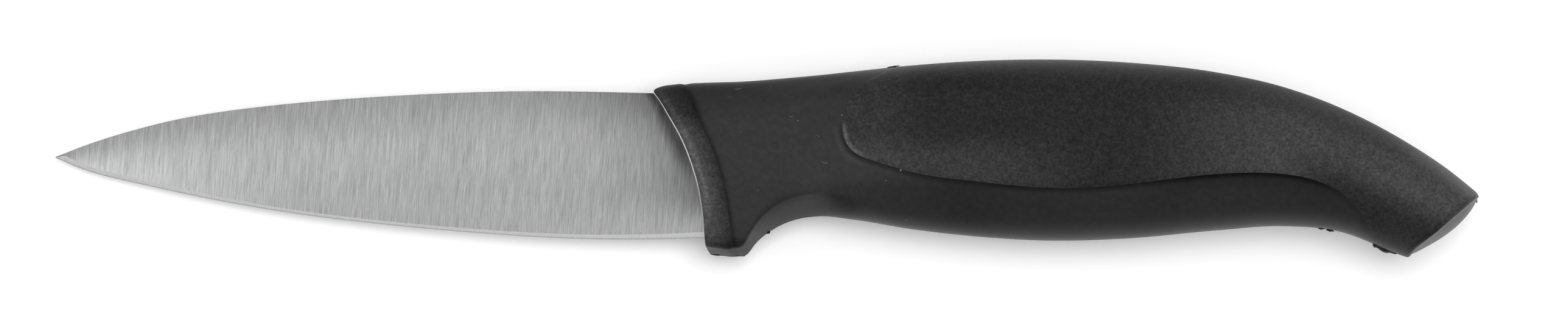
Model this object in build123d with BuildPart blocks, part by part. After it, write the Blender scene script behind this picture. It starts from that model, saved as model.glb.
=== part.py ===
from build123d import *
import os
from math import radians, tan
import numpy as np

# A paring knife: a ground steel blade moulded into a two-shot handle of hard plastic and soft grip.
# It lies on its side. +X runs from the blade tip to the butt, +Y from the cutting edge to the spine
# and +Z up, out of the side that shows. The origin is the middle of the knife's box, on the surface
# that the knife lies on. All lengths are in millimetres and all angles in degrees.

# Blade sizes
blade_length = 82.8
blade_depth = 20.4
stock_thickness = 1.5
spine_thickness = 1.4
heel_edge_thickness = 0.36
tip_thickness = 0.44
edge_angle = 16.0
spine_inset = 0.95
ground_setback = 0.12
heel_drop = 0.35
heel_cover = 2.5

# Tang sizes
tang_length = 72.0
tang_root_depth = 13.0
tang_end_depth = 8.0
tang_centre_height = 1.2
tang_end_radius = 2.5
lock_hole_radius = 2.4
lock_hole_shares = (0.36, 0.72)

# Handle sizes
handle_length = 113.2
handle_depth = 27.0
handle_thickness = 18.4
butt_dome = 0.35
skin_thickness = 2.0
key_hole_radius = 0.9
key_hole_edge_gap = 1.2
key_hole_shares = (0.36, 0.44, 0.52, 0.60, 0.68)

# One overrun carries every cutting tool past what it cuts
overrun = 4.0

# A section's rounded corner reaches this share of its half sizes, and the handle is lofted through
# this many even sections
section_corner_share = 0.775
section_count = 48

# The handle's sections from front to butt, as shares: place along the handle length, top and bottom
# along the handle depth from its middle, and thickness
section_shares = (
    (-0.018, 0.366, -0.472, 0.70),
    (0.034, 0.378, -0.473, 0.72),
    (0.078, 0.385, -0.491, 0.745),
    (0.099, 0.387, -0.500, 0.755),
    (0.113, 0.390, -0.489, 0.76),
    (0.124, 0.393, -0.431, 0.76),
    (0.145, 0.400, -0.361, 0.76),
    (0.167, 0.408, -0.318, 0.765),
    (0.201, 0.421, -0.294, 0.78),
    (0.241, 0.439, -0.310, 0.81),
    (0.315, 0.471, -0.360, 0.885),
    (0.389, 0.492, -0.395, 0.95),
    (0.482, 0.500, -0.417, 1.00),
    (0.574, 0.485, -0.406, 0.99),
    (0.685, 0.433, -0.364, 0.92),
    (0.759, 0.366, -0.343, 0.865),
    (0.833, 0.254, -0.372, 0.81),
    (0.907, 0.094, -0.486, 0.775),
    (0.959, -0.047, -0.540, 0.76),
    (1.011, -0.222, -0.620, 0.75),
)

# The collar's front line and the seam between collar and soft grip, from above the spine to below
# the guard, as shares of the handle length and of the handle depth
collar_front_shares = (
    (0.052, 0.400),
    (0.021, 0.374),
    (0.0045, 0.358),
    (0.0000, 0.342),
    (0.0045, 0.306),
    (0.013, 0.244),
    (0.030, 0.133),
    (0.042, 0.021),
    (0.050, -0.091),
    (0.060, -0.300),
    (0.063, -0.426),
    (0.069, -0.600),
)
collar_seam_shares = (
    (0.027, 0.500),
    (0.036, 0.378),
    (0.045, 0.310),
    (0.057, 0.185),
    (0.073, 0.030),
    (0.084, -0.125),
    (0.091, -0.280),
    (0.096, -0.435),
    (0.102, -0.600),
)

# The leaf seam between the hard panel and the soft grip, from above the spine round the leaf's
# front to below the belly, as shares of the handle length and of the handle depth
leaf_seam_shares = (
    (0.319, 0.520),
    (0.297, 0.471),
    (0.275, 0.421),
    (0.256, 0.372),
    (0.241, 0.310),
    (0.233, 0.200),
    (0.235, 0.108),
    (0.243, 0.046),
    (0.256, 0.010),
    (0.278, -0.022),
    (0.315, -0.068),
    (0.389, -0.115),
    (0.463, -0.146),
    (0.520, -0.150),
    (0.574, -0.134),
    (0.648, -0.096),
    (0.715, -0.074),
    (0.759, -0.078),
    (0.796, -0.103),
    (0.833, -0.171),
    (0.855, -0.260),
    (0.867, -0.342),
    (0.877, -0.480),
)

# The two corners of the butt's end face, as shares of the handle length and of the handle depth
butt_top_shares = (1.000, -0.196)
butt_bottom_shares = (0.916, -0.498)

# The blade's spine and cutting edge from just past the tip to the collar, as shares of the blade
# length and, down from the spine's highest line, of the blade depth
spine_shares = (
    (-0.047, 0.535),
    (0.000, 0.447),
    (0.040, 0.381),
    (0.121, 0.275),
    (0.202, 0.193),
    (0.324, 0.115),
    (0.486, 0.053),
    (0.648, 0.016),
    (0.769, 0.002),
    (0.891, 0.005),
    (1.000, 0.016),
)
edge_shares = (
    (-0.045, 0.350),
    (0.000, 0.447),
    (0.045, 0.526),
    (0.126, 0.613),
    (0.247, 0.718),
    (0.368, 0.806),
    (0.490, 0.873),
    (0.611, 0.924),
    (0.733, 0.965),
    (0.854, 0.993),
    (0.976, 1.000),
    (1.084, 0.990),
    (1.200, 0.970),
)

# The collar's top on the spine side, as a share of the handle depth, and the most of a half width
# that a corner's rounding takes
collar_top_share = 0.378
fillet_limit_share = 0.9

# Places that follow from the sizes
overall_length = blade_length + handle_length
tip_x = -overall_length / 2
collar_x = tip_x + blade_length
middle_z = handle_thickness / 2
spine_y = collar_top_share * handle_depth - spine_inset
heel_y = spine_y - blade_depth


def handle_point(shares):
    """A point of the handle's outline from its shares."""
    along, up = shares
    return (collar_x + along * handle_length, up * handle_depth)


def blade_point(shares):
    """A point of the blade's outline from its shares."""
    along, down = shares
    return (tip_x + along * blade_length, spine_y - down * blade_depth)


def shifted(points, distance):
    """The same points, moved along X."""
    return [(x + distance, y) for x, y in points]


def shares_at(place):
    """The handle's top, bottom and thickness shares at a place along it.

    A cubic curve joins the rows of the section table. Its slope at a row is the mean of the slopes
    to both sides, each weighted by the other side's length.
    """
    rows = np.array(section_shares)
    places, values = rows[:, 0], rows[:, 1:]
    widths = np.diff(places)[:, None]
    rises = np.diff(values, axis=0) / widths
    inner_slopes = (rises[:-1] * widths[1:] + rises[1:] * widths[:-1]) / (widths[:-1] + widths[1:])
    slopes = np.vstack([rises[:1], inner_slopes, rises[-1:]])
    row = min(max(int(np.searchsorted(places, place)) - 1, 0), len(places) - 2)
    width = places[row + 1] - places[row]
    u = (place - places[row]) / width
    rise = values[row + 1] - values[row]
    bend = (1 - u) * (slopes[row] * width - rise) - u * (slopes[row + 1] * width - rise)
    return values[row] + u * rise + u * (1 - u) * bend


def handle_section(place, inset):
    """One cross-section of the handle at a place along it, drawn in by the inset."""
    top_share, bottom_share, thickness_share = (float(value) for value in shares_at(place))
    top = top_share * handle_depth - inset
    bottom = bottom_share * handle_depth + inset
    level = (top + bottom) / 2
    half_depth = (top - bottom) / 2
    half_thickness = thickness_share * handle_thickness / 2 - inset
    corner_y = section_corner_share * half_depth
    corner_z = section_corner_share * half_thickness
    with BuildSketch(Plane.YZ.offset(collar_x + place * handle_length)) as section:
        with BuildLine():
            for side_y, side_z in ((1, 1), (-1, 1), (-1, -1), (1, -1)):
                at_rim = (level + side_y * half_depth, middle_z)
                at_corner = (level + side_y * corner_y, middle_z + side_z * corner_z)
                at_side = (level, middle_z + side_z * half_thickness)
                if side_y == side_z:
                    Spline(at_rim, at_corner, at_side, tangents=[(0, side_z), (-side_y, 0)])
                else:
                    Spline(at_side, at_corner, at_rim, tangents=[(side_y, 0), (0, -side_z)])
        make_face()
    return section.sketch


# Even places of the lofted sections, as shares of the handle length
section_places = np.linspace(section_shares[0][0], section_shares[-1][0], section_count)

# Outlines of the seams and the blade
collar_front_points = [handle_point(shares) for shares in collar_front_shares]
collar_seam_points = [handle_point(shares) for shares in collar_seam_shares]
leaf_seam_points = [handle_point(shares) for shares in leaf_seam_shares]
spine_points = [blade_point(shares) for shares in spine_shares]
edge_points = [blade_point(shares) for shares in edge_shares]

# Levels that clear the knife above, below and in front
clear_top = handle_depth
clear_bottom = -handle_depth
clear_front = spine_points[0][0] - overrun
tool_bottom = -overrun
tool_height = handle_thickness + 2 * overrun

# Blade: the stock outline with its tang, ground on both faces and along the cutting edge
tang_root_x = edge_points[-2][0] + heel_cover
tang_end_x = collar_x + tang_length
tang_root_half = tang_root_depth / 2
tang_end_half = tang_end_depth / 2
blank_bottom = heel_y - heel_drop

# The grind plane goes through three points of the upper face: at the heel on the edge, on the spine
# and at the tip
grind_heel = Vector(*edge_points[-2], middle_z + heel_edge_thickness / 2)
grind_spine = Vector(*spine_points[-1], middle_z + spine_thickness / 2)
grind_tip = Vector(*spine_points[1], middle_z + tip_thickness / 2)
grind_normal = (grind_spine - grind_heel).cross(grind_tip - grind_heel)
grind_plane = Plane(origin=grind_heel, x_dir=grind_tip - grind_heel, z_dir=grind_normal)

# The bevel tool's upper line runs beside the cutting edge, further in by the height over the slope
edge_tool_height = stock_thickness / 2
bevel_run = edge_tool_height / tan(radians(edge_angle))
with BuildLine():
    edge_curve = Spline(*edge_points)
shoulder_points = []
for point in edge_points:
    along_edge = edge_curve.tangent_at(Vector(*point))
    inward = Vector(-along_edge.Y, along_edge.X)
    shoulder = Vector(*point) + inward * bevel_run
    shoulder_points.append((shoulder.X, shoulder.Y))

with BuildPart() as ground_form:
    for line_points, level in ((edge_points, 0), (shoulder_points, edge_tool_height)):
        with BuildSketch(Plane.XY.offset(middle_z + level)):
            with BuildLine():
                Spline(*line_points)
                Polyline(
                    line_points[-1],
                    (line_points[-1][0], clear_top),
                    (line_points[0][0], clear_top),
                    line_points[0],
                )
            make_face()
    loft(ruled=True)
    split(bisect_by=grind_plane, keep=Keep.BOTTOM)
    mirror(about=Plane.XY.offset(middle_z))

with BuildPart() as grinding_tool:
    with BuildSketch(Plane.XY.offset(tool_bottom)):
        with BuildLine():
            front_line = shifted(collar_front_points, -ground_setback)
            Spline(*front_line)
            Polyline(
                front_line[-1],
                (front_line[-1][0], clear_bottom),
                (clear_front, clear_bottom),
                (clear_front, clear_top),
                (front_line[0][0], clear_top),
                front_line[0],
            )
        make_face()
    extrude(amount=tool_height)
    add(ground_form.part, mode=Mode.SUBTRACT)

with BuildPart() as blade:
    with BuildSketch(Plane.XY.offset(middle_z - stock_thickness / 2)):
        with BuildLine():
            Spline(*spine_points)
            Polyline(
                spine_points[-1],
                (tang_root_x, spine_points[-1][1]),
                (tang_root_x, tang_centre_height + tang_root_half),
                (tang_end_x, tang_centre_height + tang_end_half),
                (tang_end_x, tang_centre_height - tang_end_half),
                (tang_root_x, tang_centre_height - tang_root_half),
                (tang_root_x, blank_bottom),
                (spine_points[0][0], blank_bottom),
                spine_points[0],
            )
        make_face()
        end_corners = vertices().group_by(Axis.X)[-1]
        fillet(end_corners, min(tang_end_radius, fillet_limit_share * tang_end_half))
        for share in lock_hole_shares:
            with Locations((tang_root_x + share * (tang_end_x - tang_root_x), tang_centre_height)):
                Circle(lock_hole_radius, mode=Mode.SUBTRACT)
    extrude(amount=stock_thickness)
    add(grinding_tool.part, mode=Mode.SUBTRACT)

# Handle body: the lofted hand shape, ended by the collar's front line and the domed butt
with BuildPart() as handle_body:
    loft(sections=[handle_section(place, 0) for place in section_places])
    with BuildSketch(Plane.XY.offset(tool_bottom)):
        with BuildLine():
            butt_top = handle_point(butt_top_shares)
            butt_bottom = handle_point(butt_bottom_shares)
            Spline(*collar_front_points)
            Polyline(
                collar_front_points[0],
                (collar_front_points[0][0], clear_top),
                (butt_top[0], clear_top),
                butt_top,
            )
            SagittaArc(butt_top, butt_bottom, butt_dome)
            Polyline(
                butt_bottom,
                (butt_bottom[0], clear_bottom),
                (collar_front_points[-1][0], clear_bottom),
                collar_front_points[-1],
            )
        make_face()
    extrude(amount=tool_height, mode=Mode.INTERSECT)

# Skin zone: the room of the soft grip, between the two seams and outside the inner core, with the
# key holes that the soft grip fills through the core
with BuildPart() as skin_zone:
    with BuildSketch(Plane.XY.offset(tool_bottom)):
        with BuildLine():
            Spline(*collar_seam_points)
            Polyline(
                collar_seam_points[0],
                (collar_seam_points[0][0], clear_top),
                (leaf_seam_points[0][0], clear_top),
                leaf_seam_points[0],
            )
            Spline(*leaf_seam_points)
            Polyline(
                leaf_seam_points[-1],
                (leaf_seam_points[-1][0], clear_bottom),
                (collar_seam_points[-1][0], clear_bottom),
                collar_seam_points[-1],
            )
        make_face()
    extrude(amount=tool_height)
    loft(
        sections=[handle_section(place, skin_thickness) for place in section_places],
        mode=Mode.SUBTRACT,
    )
    for place in key_hole_shares:
        inner_bottom = float(shares_at(place)[1]) * handle_depth + skin_thickness
        key_y = inner_bottom + key_hole_edge_gap + key_hole_radius
        with BuildSketch(Plane.XY.offset(tool_bottom)):
            with Locations((collar_x + place * handle_length, key_y)):
                Circle(key_hole_radius)
        extrude(amount=tool_height)

with BuildPart() as soft_grip:
    add(handle_body.part)
    add(skin_zone.part, mode=Mode.INTERSECT)
    add(blade.part, mode=Mode.SUBTRACT)

with BuildPart() as handle_core:
    add(handle_body.part)
    add(skin_zone.part, mode=Mode.SUBTRACT)
    add(blade.part, mode=Mode.SUBTRACT)

# Write each piece
os.makedirs("parts", exist_ok=True)
blade.part.label = "blade"
export_step(blade.part, "parts/blade.step")
handle_core.part.label = "handle_core"
export_step(handle_core.part, "parts/handle_core.step")
soft_grip.part.label = "soft_grip"
export_step(soft_grip.part, "parts/soft_grip.step")
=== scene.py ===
"""A paring knife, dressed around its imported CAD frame.

The knife lies on its side: +X runs from the blade's tip to the butt, +Y from the cutting edge to the
spine and +Z up. Sizes in this file are in millimetres and are turned into metres when a mesh is made.
A place is an X, a height is a Y, and a turn runs round the handle from its spine to its belly.
"""

import logging
from collections.abc import Callable
from dataclasses import dataclass, field
from enum import Enum
from math import atan, cos, pi, radians, sin, tan

import bmesh
import bpy
import numpy as np
from mathutils import Matrix, Vector


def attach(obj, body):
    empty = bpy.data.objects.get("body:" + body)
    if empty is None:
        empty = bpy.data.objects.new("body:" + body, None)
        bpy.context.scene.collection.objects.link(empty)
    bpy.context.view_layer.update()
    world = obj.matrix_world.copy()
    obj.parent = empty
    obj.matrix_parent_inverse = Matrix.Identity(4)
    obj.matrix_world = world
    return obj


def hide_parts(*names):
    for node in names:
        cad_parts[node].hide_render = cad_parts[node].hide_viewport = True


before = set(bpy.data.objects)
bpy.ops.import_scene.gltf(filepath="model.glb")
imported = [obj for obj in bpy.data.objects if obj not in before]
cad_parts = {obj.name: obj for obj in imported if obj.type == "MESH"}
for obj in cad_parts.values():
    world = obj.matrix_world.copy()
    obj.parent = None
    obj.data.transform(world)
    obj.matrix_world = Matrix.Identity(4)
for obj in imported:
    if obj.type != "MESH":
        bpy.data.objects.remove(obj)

log = logging.getLogger("paring_knife")
MM = 0.001
# Slack when places and turns are compared, and the distance in metres under which points become one
SLACK = 1e-9
WELD = 3e-7
HALVINGS = 50

Array = np.ndarray
Line = Callable[[Array], Array]
Rows = tuple[tuple[float, ...], ...]
Pair = tuple[float, float]
Steps = tuple[float, float, float]
Span = tuple[str, float, float]
Socket = bpy.types.NodeSocket
Value = Socket | float | tuple[float, ...]

# Spans of the handle where painted light and shade act, and the deep part of the leaf's groove: a
# measure, where they have faded out and where they are full
LOW_BRANCH: tuple[Span, ...] = (("y", 6.0, 2.5), ("x", 86.0, 74.0), ("x", 6.0, 12.0))
NOSE: tuple[Span, ...] = (("x", 16.0, 12.0), ("x", 6.0, 9.0), ("y", 5.5, 3.5))
NOTCH: tuple[Span, ...] = (("x", -4.0, 0.0), ("x", 15.0, 9.0))
UPPER: Span = ("share", 0.50, 0.90)
LOWER: Span = ("share", -0.70, -1.00)
GUARD: Span = ("x", 2.5, -1.5)


class Fine(Enum):
    """Which ends of a row of stations are finely divided."""

    START = (True, False)
    END = (False, True)
    BOTH = (True, True)


class Slot(Enum):
    """The record's material slots."""

    BLADE = "steel"
    CORE = "hard_plastic"
    SKIN = "soft_elastomer"


def stations(span: float, fine: float, coarse: float, growth: float, ends: Fine) -> Array:
    """Stations from 0 to 1 whose steps grow from fine at the chosen ends to coarse between.

    A step is the one before times the growth until it reaches the coarse step. The rest of the span
    is divided evenly.

    Args:
        span: Length that the stations cover.
        fine: First step at a fine end.
        coarse: Largest step.
        growth: Ratio of a step to the one before.
        ends: Which ends are fine.

    Returns:
        The stations as shares of the span.
    """
    count = int(np.ceil(np.log(coarse / fine) / np.log(growth)))
    ramp = fine * growth ** np.arange(count)
    start = ramp if ends.value[0] else ramp[:0]
    end = ramp[::-1] if ends.value[1] else ramp[:0]
    rest = span - start.sum() - end.sum()
    middle_count = max(int(round(rest / coarse)), 1)
    middle = np.full(middle_count, max(rest, coarse / 2) / middle_count)
    places = np.concatenate([[0.0], np.cumsum(np.concatenate([start, middle, end]))])
    return places / places[-1]


def rise(value: Array, start: float, end: float) -> Array:
    """A smooth rise from 0 at the start to 1 at the end: 3 t squared minus 2 t cubed of the share t."""
    share = np.clip((value - start) / (end - start), 0.0, 1.0)
    return share * share * (3.0 - 2.0 * share)


def coordinates(points: Array) -> dict[str, Array]:
    """The points' coordinates by name."""
    return dict(zip("xyz", np.moveaxis(points, -1, 0)))


@dataclass(frozen=True)
class Shade:
    """A patch of painted light and shade that makes a finish lighter or darker by a strength.

    A span names a measure and the values where the patch has faded out and where it is full. A peak
    names a measure, the value where the patch is full and the reach over which it fades.
    """

    strength: float
    spans: tuple[Span, ...] = ()
    peaks: tuple[Span, ...] = ()

    def at(self, measures: dict[str, Array]) -> Array:
        """The strength times the rise of each span and exp(-(difference/reach) squared) of each peak.

        Args:
            measures: What the points measure, by name.

        Returns:
            The patch's amounts.
        """
        amount = np.full_like(measures["x"], self.strength)
        for name, start, end in self.spans:
            amount = amount * rise(measures[name], start, end)
        for name, middle, reach in self.peaks:
            amount = amount * np.exp(-(((measures[name] - middle) / reach) ** 2))
        return amount


def total(shades: tuple[Shade, ...], measures: dict[str, Array]) -> Array:
    """The sum of the shades' amounts."""
    return sum(shade.at(measures) for shade in shades)


def left_by(shades: tuple[Shade, ...], measures: dict[str, Array]) -> Array:
    """What the shades leave of a tone: the product of one minus each amount."""
    return np.prod([1 - shade.at(measures) for shade in shades], axis=0)


class RowCurve:
    """A smooth curve through the rows of a table, for a place along the handle.

    Each span between two rows is a cubic. Its slope at a row is the mean of the slopes to both sides,
    each weighted by the other side's length.
    """

    def __init__(self, rows: Rows) -> None:
        """Works out the slopes at the rows.

        Args:
            rows: Place and values, in order of place.
        """
        table = np.array(rows, float)
        self.places, self.values = table[:, 0], table[:, 1:]
        widths = np.diff(self.places)[:, None]
        rises = np.diff(self.values, axis=0) / widths
        inner = (rises[:-1] * widths[1:] + rises[1:] * widths[:-1]) / (widths[:-1] + widths[1:])
        self.slopes = np.vstack([rises[:1], inner, rises[-1:]])

    def at(self, place: Array) -> Array:
        """The values at each place: the chord plus u(1 - u) times the bend of the two end slopes.

        Args:
            place: Places of any shape.

        Returns:
            An array of that shape with one more axis for the values.
        """
        place = np.asarray(place, float)
        row = np.clip(np.searchsorted(self.places, place) - 1, 0, len(self.places) - 2)
        width = (self.places[row + 1] - self.places[row])[..., None]
        u = (place[..., None] - self.places[row][..., None]) / width
        low, high = self.values[row], self.values[row + 1]
        change = high - low
        bend = (1 - u) * (self.slopes[row] * width - change) - u * (self.slopes[row + 1] * width - change)
        return low + u * change + u * (1 - u) * bend


class SmoothLine:
    """A smooth line through points of the side view.

    Natural cubic spline: both coordinates are cubics of the length along the chords, with equal
    second derivatives on both sides of a point and none at the two ends.
    """

    def __init__(self, points: Array) -> None:
        """Solves the spline.

        Args:
            points: The points, one row each.
        """
        points = np.array(points, float)
        chords = np.hypot(*np.diff(points, axis=0).T)
        self.knots = np.concatenate([[0.0], np.cumsum(chords)])
        self.points = points
        matrix = np.eye(len(points))
        inner = np.arange(1, len(points) - 1)
        matrix[inner, inner - 1] = chords[:-1]
        matrix[inner, inner] = 2 * (chords[:-1] + chords[1:])
        matrix[inner, inner + 1] = chords[1:]
        rises = np.diff(points, axis=0) / chords[:, None]
        right = np.zeros_like(points)
        right[1:-1] = 6 * np.diff(rises, axis=0)
        self.bends = np.linalg.solve(matrix, right)

    def sampled(self, count: int) -> Array:
        """Points at even steps of the chord length.

        Args:
            count: How many points.

        Returns:
            The points, one row each.
        """
        place = np.linspace(0.0, self.knots[-1], count)
        row = np.clip(np.searchsorted(self.knots, place) - 1, 0, len(self.knots) - 2)
        chord = (self.knots[row + 1] - self.knots[row])[:, None]
        after = (place - self.knots[row])[:, None]
        before = chord - after
        low, high = self.points[row], self.points[row + 1]
        low_bend, high_bend = self.bends[row], self.bends[row + 1]
        return (
            (low_bend * before**3 + high_bend * after**3) / (6 * chord)
            + (low / chord - low_bend * chord / 6) * before
            + (high / chord - high_bend * chord / 6) * after
        )


@dataclass
class HandleForm:
    """The handle's outer surface as a function of the place along it and the turn round it.

    The turn is 0 on the spine and half a circle on the belly. A section is a superellipse about its
    own centre: the point at a turn t lies at the distance where (cos t / a) to the power n plus
    (sin t / b) to the power n is 1.
    """

    length: float = 113.2
    depth: float = 27.0
    thickness: float = 18.4
    collar_x: float = -15.2
    middle_z: float = 9.2
    # The crease's rounding, the half width below which it shrinks, and its least share
    crease_radius: float = 0.28
    crease_width: float = 1.5
    crease_least: float = 0.01
    wall_power: float = 1.25
    # Place, top, bottom and thickness, as shares of the length, the depth and the thickness
    sections: Rows = (
        (-0.018, 0.366, -0.472, 0.70), (0.034, 0.378, -0.473, 0.72), (0.078, 0.385, -0.491, 0.745),
        (0.099, 0.387, -0.500, 0.755), (0.113, 0.390, -0.489, 0.76), (0.124, 0.393, -0.431, 0.76),
        (0.145, 0.400, -0.361, 0.76), (0.167, 0.408, -0.318, 0.765), (0.201, 0.421, -0.294, 0.78),
        (0.241, 0.439, -0.310, 0.81), (0.315, 0.471, -0.360, 0.885), (0.389, 0.492, -0.395, 0.95),
        (0.482, 0.500, -0.417, 1.00), (0.574, 0.485, -0.406, 0.99), (0.685, 0.433, -0.364, 0.92),
        (0.759, 0.366, -0.343, 0.865), (0.833, 0.254, -0.372, 0.81), (0.907, 0.094, -0.492, 0.775),
        (0.959, -0.047, -0.556, 0.76), (1.011, -0.222, -0.630, 0.75),
    )
    # Place and the superellipse's power: a high power is a square section
    powers: Rows = (
        (-0.018, 3.60), (0.100, 3.60), (0.240, 3.20), (0.480, 2.75), (0.700, 2.60), (0.900, 2.50),
        (1.011, 2.50),
    )
    # Place, height of the underside's crease over its bottom, and bottom of the body that it cuts
    under_wall: Rows = (
        (-0.018, 0.038, -0.545), (0.060, 0.040, -0.555), (0.099, 0.043, -0.570),
        (0.1117, 0.052, -0.570), (0.1228, 0.070, -0.545), (0.1376, 0.095, -0.510),
        (0.1598, 0.111, -0.465), (0.1820, 0.114, -0.425), (0.2042, 0.122, -0.385),
        (0.2338, 0.130, -0.345), (0.2450, 0.132, -0.335),
    )
    wall_fade: Pair = (0.188, 0.245)
    # Points of the collar's front and of both seams, as shares of the length and the depth
    front: Rows = (
        (0.052, 0.400), (0.021, 0.374), (0.0045, 0.358), (0.0000, 0.342), (0.0024, 0.323),
        (0.0126, 0.256), (0.0240, 0.177), (0.0326, 0.113), (0.0385, 0.060), (0.0445, -0.004),
        (0.0532, -0.122), (0.0572, -0.202), (0.0604, -0.314), (0.0619, -0.426), (0.069, -0.600),
    )
    collar_seam: Rows = (
        (0.027, 0.500), (0.036, 0.378), (0.045, 0.310), (0.057, 0.185), (0.073, 0.030),
        (0.084, -0.125), (0.091, -0.280), (0.096, -0.435), (0.102, -0.600),
    )
    leaf_seam: Rows = (
        (0.319, 0.520), (0.297, 0.471), (0.275, 0.421), (0.256, 0.372), (0.241, 0.310), (0.233, 0.200),
        (0.235, 0.108), (0.243, 0.046), (0.256, 0.010), (0.278, -0.022), (0.315, -0.068),
        (0.389, -0.115), (0.463, -0.146), (0.520, -0.150), (0.574, -0.134), (0.648, -0.096),
        (0.715, -0.074), (0.759, -0.078), (0.796, -0.103), (0.833, -0.171), (0.855, -0.260),
        (0.867, -0.342), (0.877, -0.480),
    )
    butt_top: Pair = (1.000, -0.196)
    butt_bottom: Pair = (0.9165, -0.506)
    butt_dome: float = 1.50
    crest_setback: float = 1.75
    crest_powers: tuple[int, int] = (4, 2)
    lines_shift: float = 0.46
    corner_shift: float = 0.26
    corner_heights: Pair = (6.5, 9.5)
    line_samples: int = 3001
    leaf_samples: int = 6001
    table_start: float = -19.0
    table_end: float = 101.0
    table_step: float = 0.25
    table_angles: int = 721

    def __post_init__(self) -> None:
        """Works out the handle's curves.

        They are the section's curves, the table of even turns, the collar's two lines, and the leaf
        seam's two branches with the places where it starts, crosses the spine and ends at the belly.
        """
        self.section_curve = RowCurve(self.sections)
        self.power_curve = RowCurve(self.powers)
        self.wall_curve = RowCurve(self.under_wall)
        self.table_x = np.arange(self.table_start, self.table_end, self.table_step)
        self.even_turns = self.laid_out_turns()
        self.front_line = self.shifted(self.side_line(self.front, self.line_samples))
        self.seam_line = self.shifted(self.side_line(self.collar_seam, self.line_samples))
        leaf = self.side_line(self.leaf_seam, self.leaf_samples)
        nose = int(np.argmin(leaf[:, 0]))
        self.upper_seam, self.lower_seam = leaf[: nose + 1][::-1], leaf[nose:]
        self.nose_x = float(leaf[nose, 0])
        self.cross_x = self.first_beyond(self.upper_seam, above=True)
        self.end_x = self.first_beyond(self.lower_seam, above=False)

    def share_of(self, x: Array) -> Array:
        """A place as a share of the handle's length from the collar."""
        return (np.asarray(x, float) - self.collar_x) / self.length

    def side_line(self, shares: Rows, count: int) -> Array:
        """Samples of a smooth line given in shares of the handle's length and depth."""
        points = np.array(shares) * (self.length, self.depth) + (self.collar_x, 0.0)
        return SmoothLine(points).sampled(count)

    def shifted(self, line: Array) -> Array:
        """A collar line moved towards the butt, less at the collar's top corner.

        The photographed line is the rim's, which stands over the middle plane and so shows nearer to
        the tip than it lies.

        Args:
            line: Points of the side view.

        Returns:
            The moved points.
        """
        corner = rise(line[:, 1], *self.corner_heights)
        shift = self.lines_shift + (self.corner_shift - self.lines_shift) * corner
        return line + np.stack([shift, np.zeros_like(shift)], axis=1)

    def first_beyond(self, line: Array, above: bool) -> float:
        """The place where a seam branch leaves the side view over the spine or under the belly.

        Args:
            line: The branch, in order of place.
            above: Whether it leaves over the spine.

        Returns:
            The place, between the last sample inside and the first one outside.
        """
        top, bottom, _ = self.outline(line[:, 0])
        excess = line[:, 1] - top if above else bottom - line[:, 1]
        first = int(np.argmax(excess > 0))
        share = excess[first - 1] / (excess[first - 1] - excess[first])
        return float(line[first - 1, 0] + share * (line[first, 0] - line[first - 1, 0]))

    def outline(self, x: Array) -> tuple[Array, Array, Array]:
        """The section's size at each place.

        Args:
            x: Places.

        Returns:
            Its top, its bottom and its half thickness.
        """
        top, bottom, side = np.moveaxis(self.section_curve.at(self.share_of(x)), -1, 0)
        return top * self.depth, bottom * self.depth, side * self.thickness / 2

    def half_width(self, y: Array, ends: tuple[Array, ...], n: Array) -> Array:
        """A superellipse's half width at a height: side times (1 - |Y/a|^n)^(1/n).

        Args:
            y: Heights.
            ends: Top, bottom and largest half width of the superellipse.
            n: Its power.

        Returns:
            The half widths.
        """
        top, bottom, side = ends
        share = np.clip(np.abs(2 * y - top - bottom) / (top - bottom), 0.0, 1.0)
        return side * (1.0 - share**n) ** (1.0 / n)

    def power(self, x: Array) -> Array:
        """The superellipse's power at each place."""
        return self.power_curve.at(self.share_of(x))[..., 0]

    def walled(self, x: Array, y: Array, width: Array, ends: tuple[Array, ...]) -> Array:
        """Half width with the steep underside of the guard and the finger notch.

        The body without that wall is a deeper superellipse. The wall's half width is that of the
        crease times ((y - bottom)/drop) to the power 1/p. The smaller of the two holds, with their
        corner rounded by minus k log(exp(-u/k) + exp(-v/k)), and it fades into the plain section.

        Args:
            x: Places.
            y: Heights.
            width: Half widths of the plain section.
            ends: Top, bottom and half thickness of the section.

        Returns:
            The half widths.
        """
        top, bottom, side = ends
        share = self.share_of(x)
        drop, deeper = np.moveaxis(self.wall_at(x), -1, 0) * self.depth
        n = self.power(x)
        body = (top, np.minimum(deeper, bottom), side)
        at_crease = self.half_width(bottom + drop, body, n)
        wall = at_crease * (np.maximum(y - bottom, 0.0) / drop) ** (1 / self.wall_power)
        uncut = self.half_width(y, body, n)
        low, high = np.minimum(uncut, wall), np.maximum(uncut, wall)
        k = self.crease_radius * np.clip(low / self.crease_width, self.crease_least, 1.0)
        cut = np.maximum(low - k * np.log1p(np.exp((low - high) / k)), 0.0)
        return width + (1.0 - rise(share, *self.wall_fade)) * (cut - width)

    def wall_at(self, x: Array) -> Array:
        """The underside's two values at each place, held past the ends of their table."""
        return self.wall_curve.at(np.clip(self.share_of(x), self.under_wall[0][0], self.under_wall[-1][0]))

    def polar_points(self, x: Array, angle: Array) -> Array:
        """Points of the surface at polar angles about each section's centre.

        Args:
            x: Places.
            angle: Angles from the spine's direction, positive on the upper side of the knife.

        Returns:
            The points on one more axis.
        """
        top, bottom, side = self.outline(x)
        level, half, n = (top + bottom) / 2, (top - bottom) / 2, self.power(x)
        across, up = np.sin(angle), np.cos(angle)
        reach = (np.abs(up / half) ** n + np.abs(across / side) ** n) ** (-1 / n)
        y = level + reach * up
        z = np.sign(across) * self.walled(x, y, np.abs(reach * across), (top, bottom, side))
        return np.stack([x, y, z], axis=-1)

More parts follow.
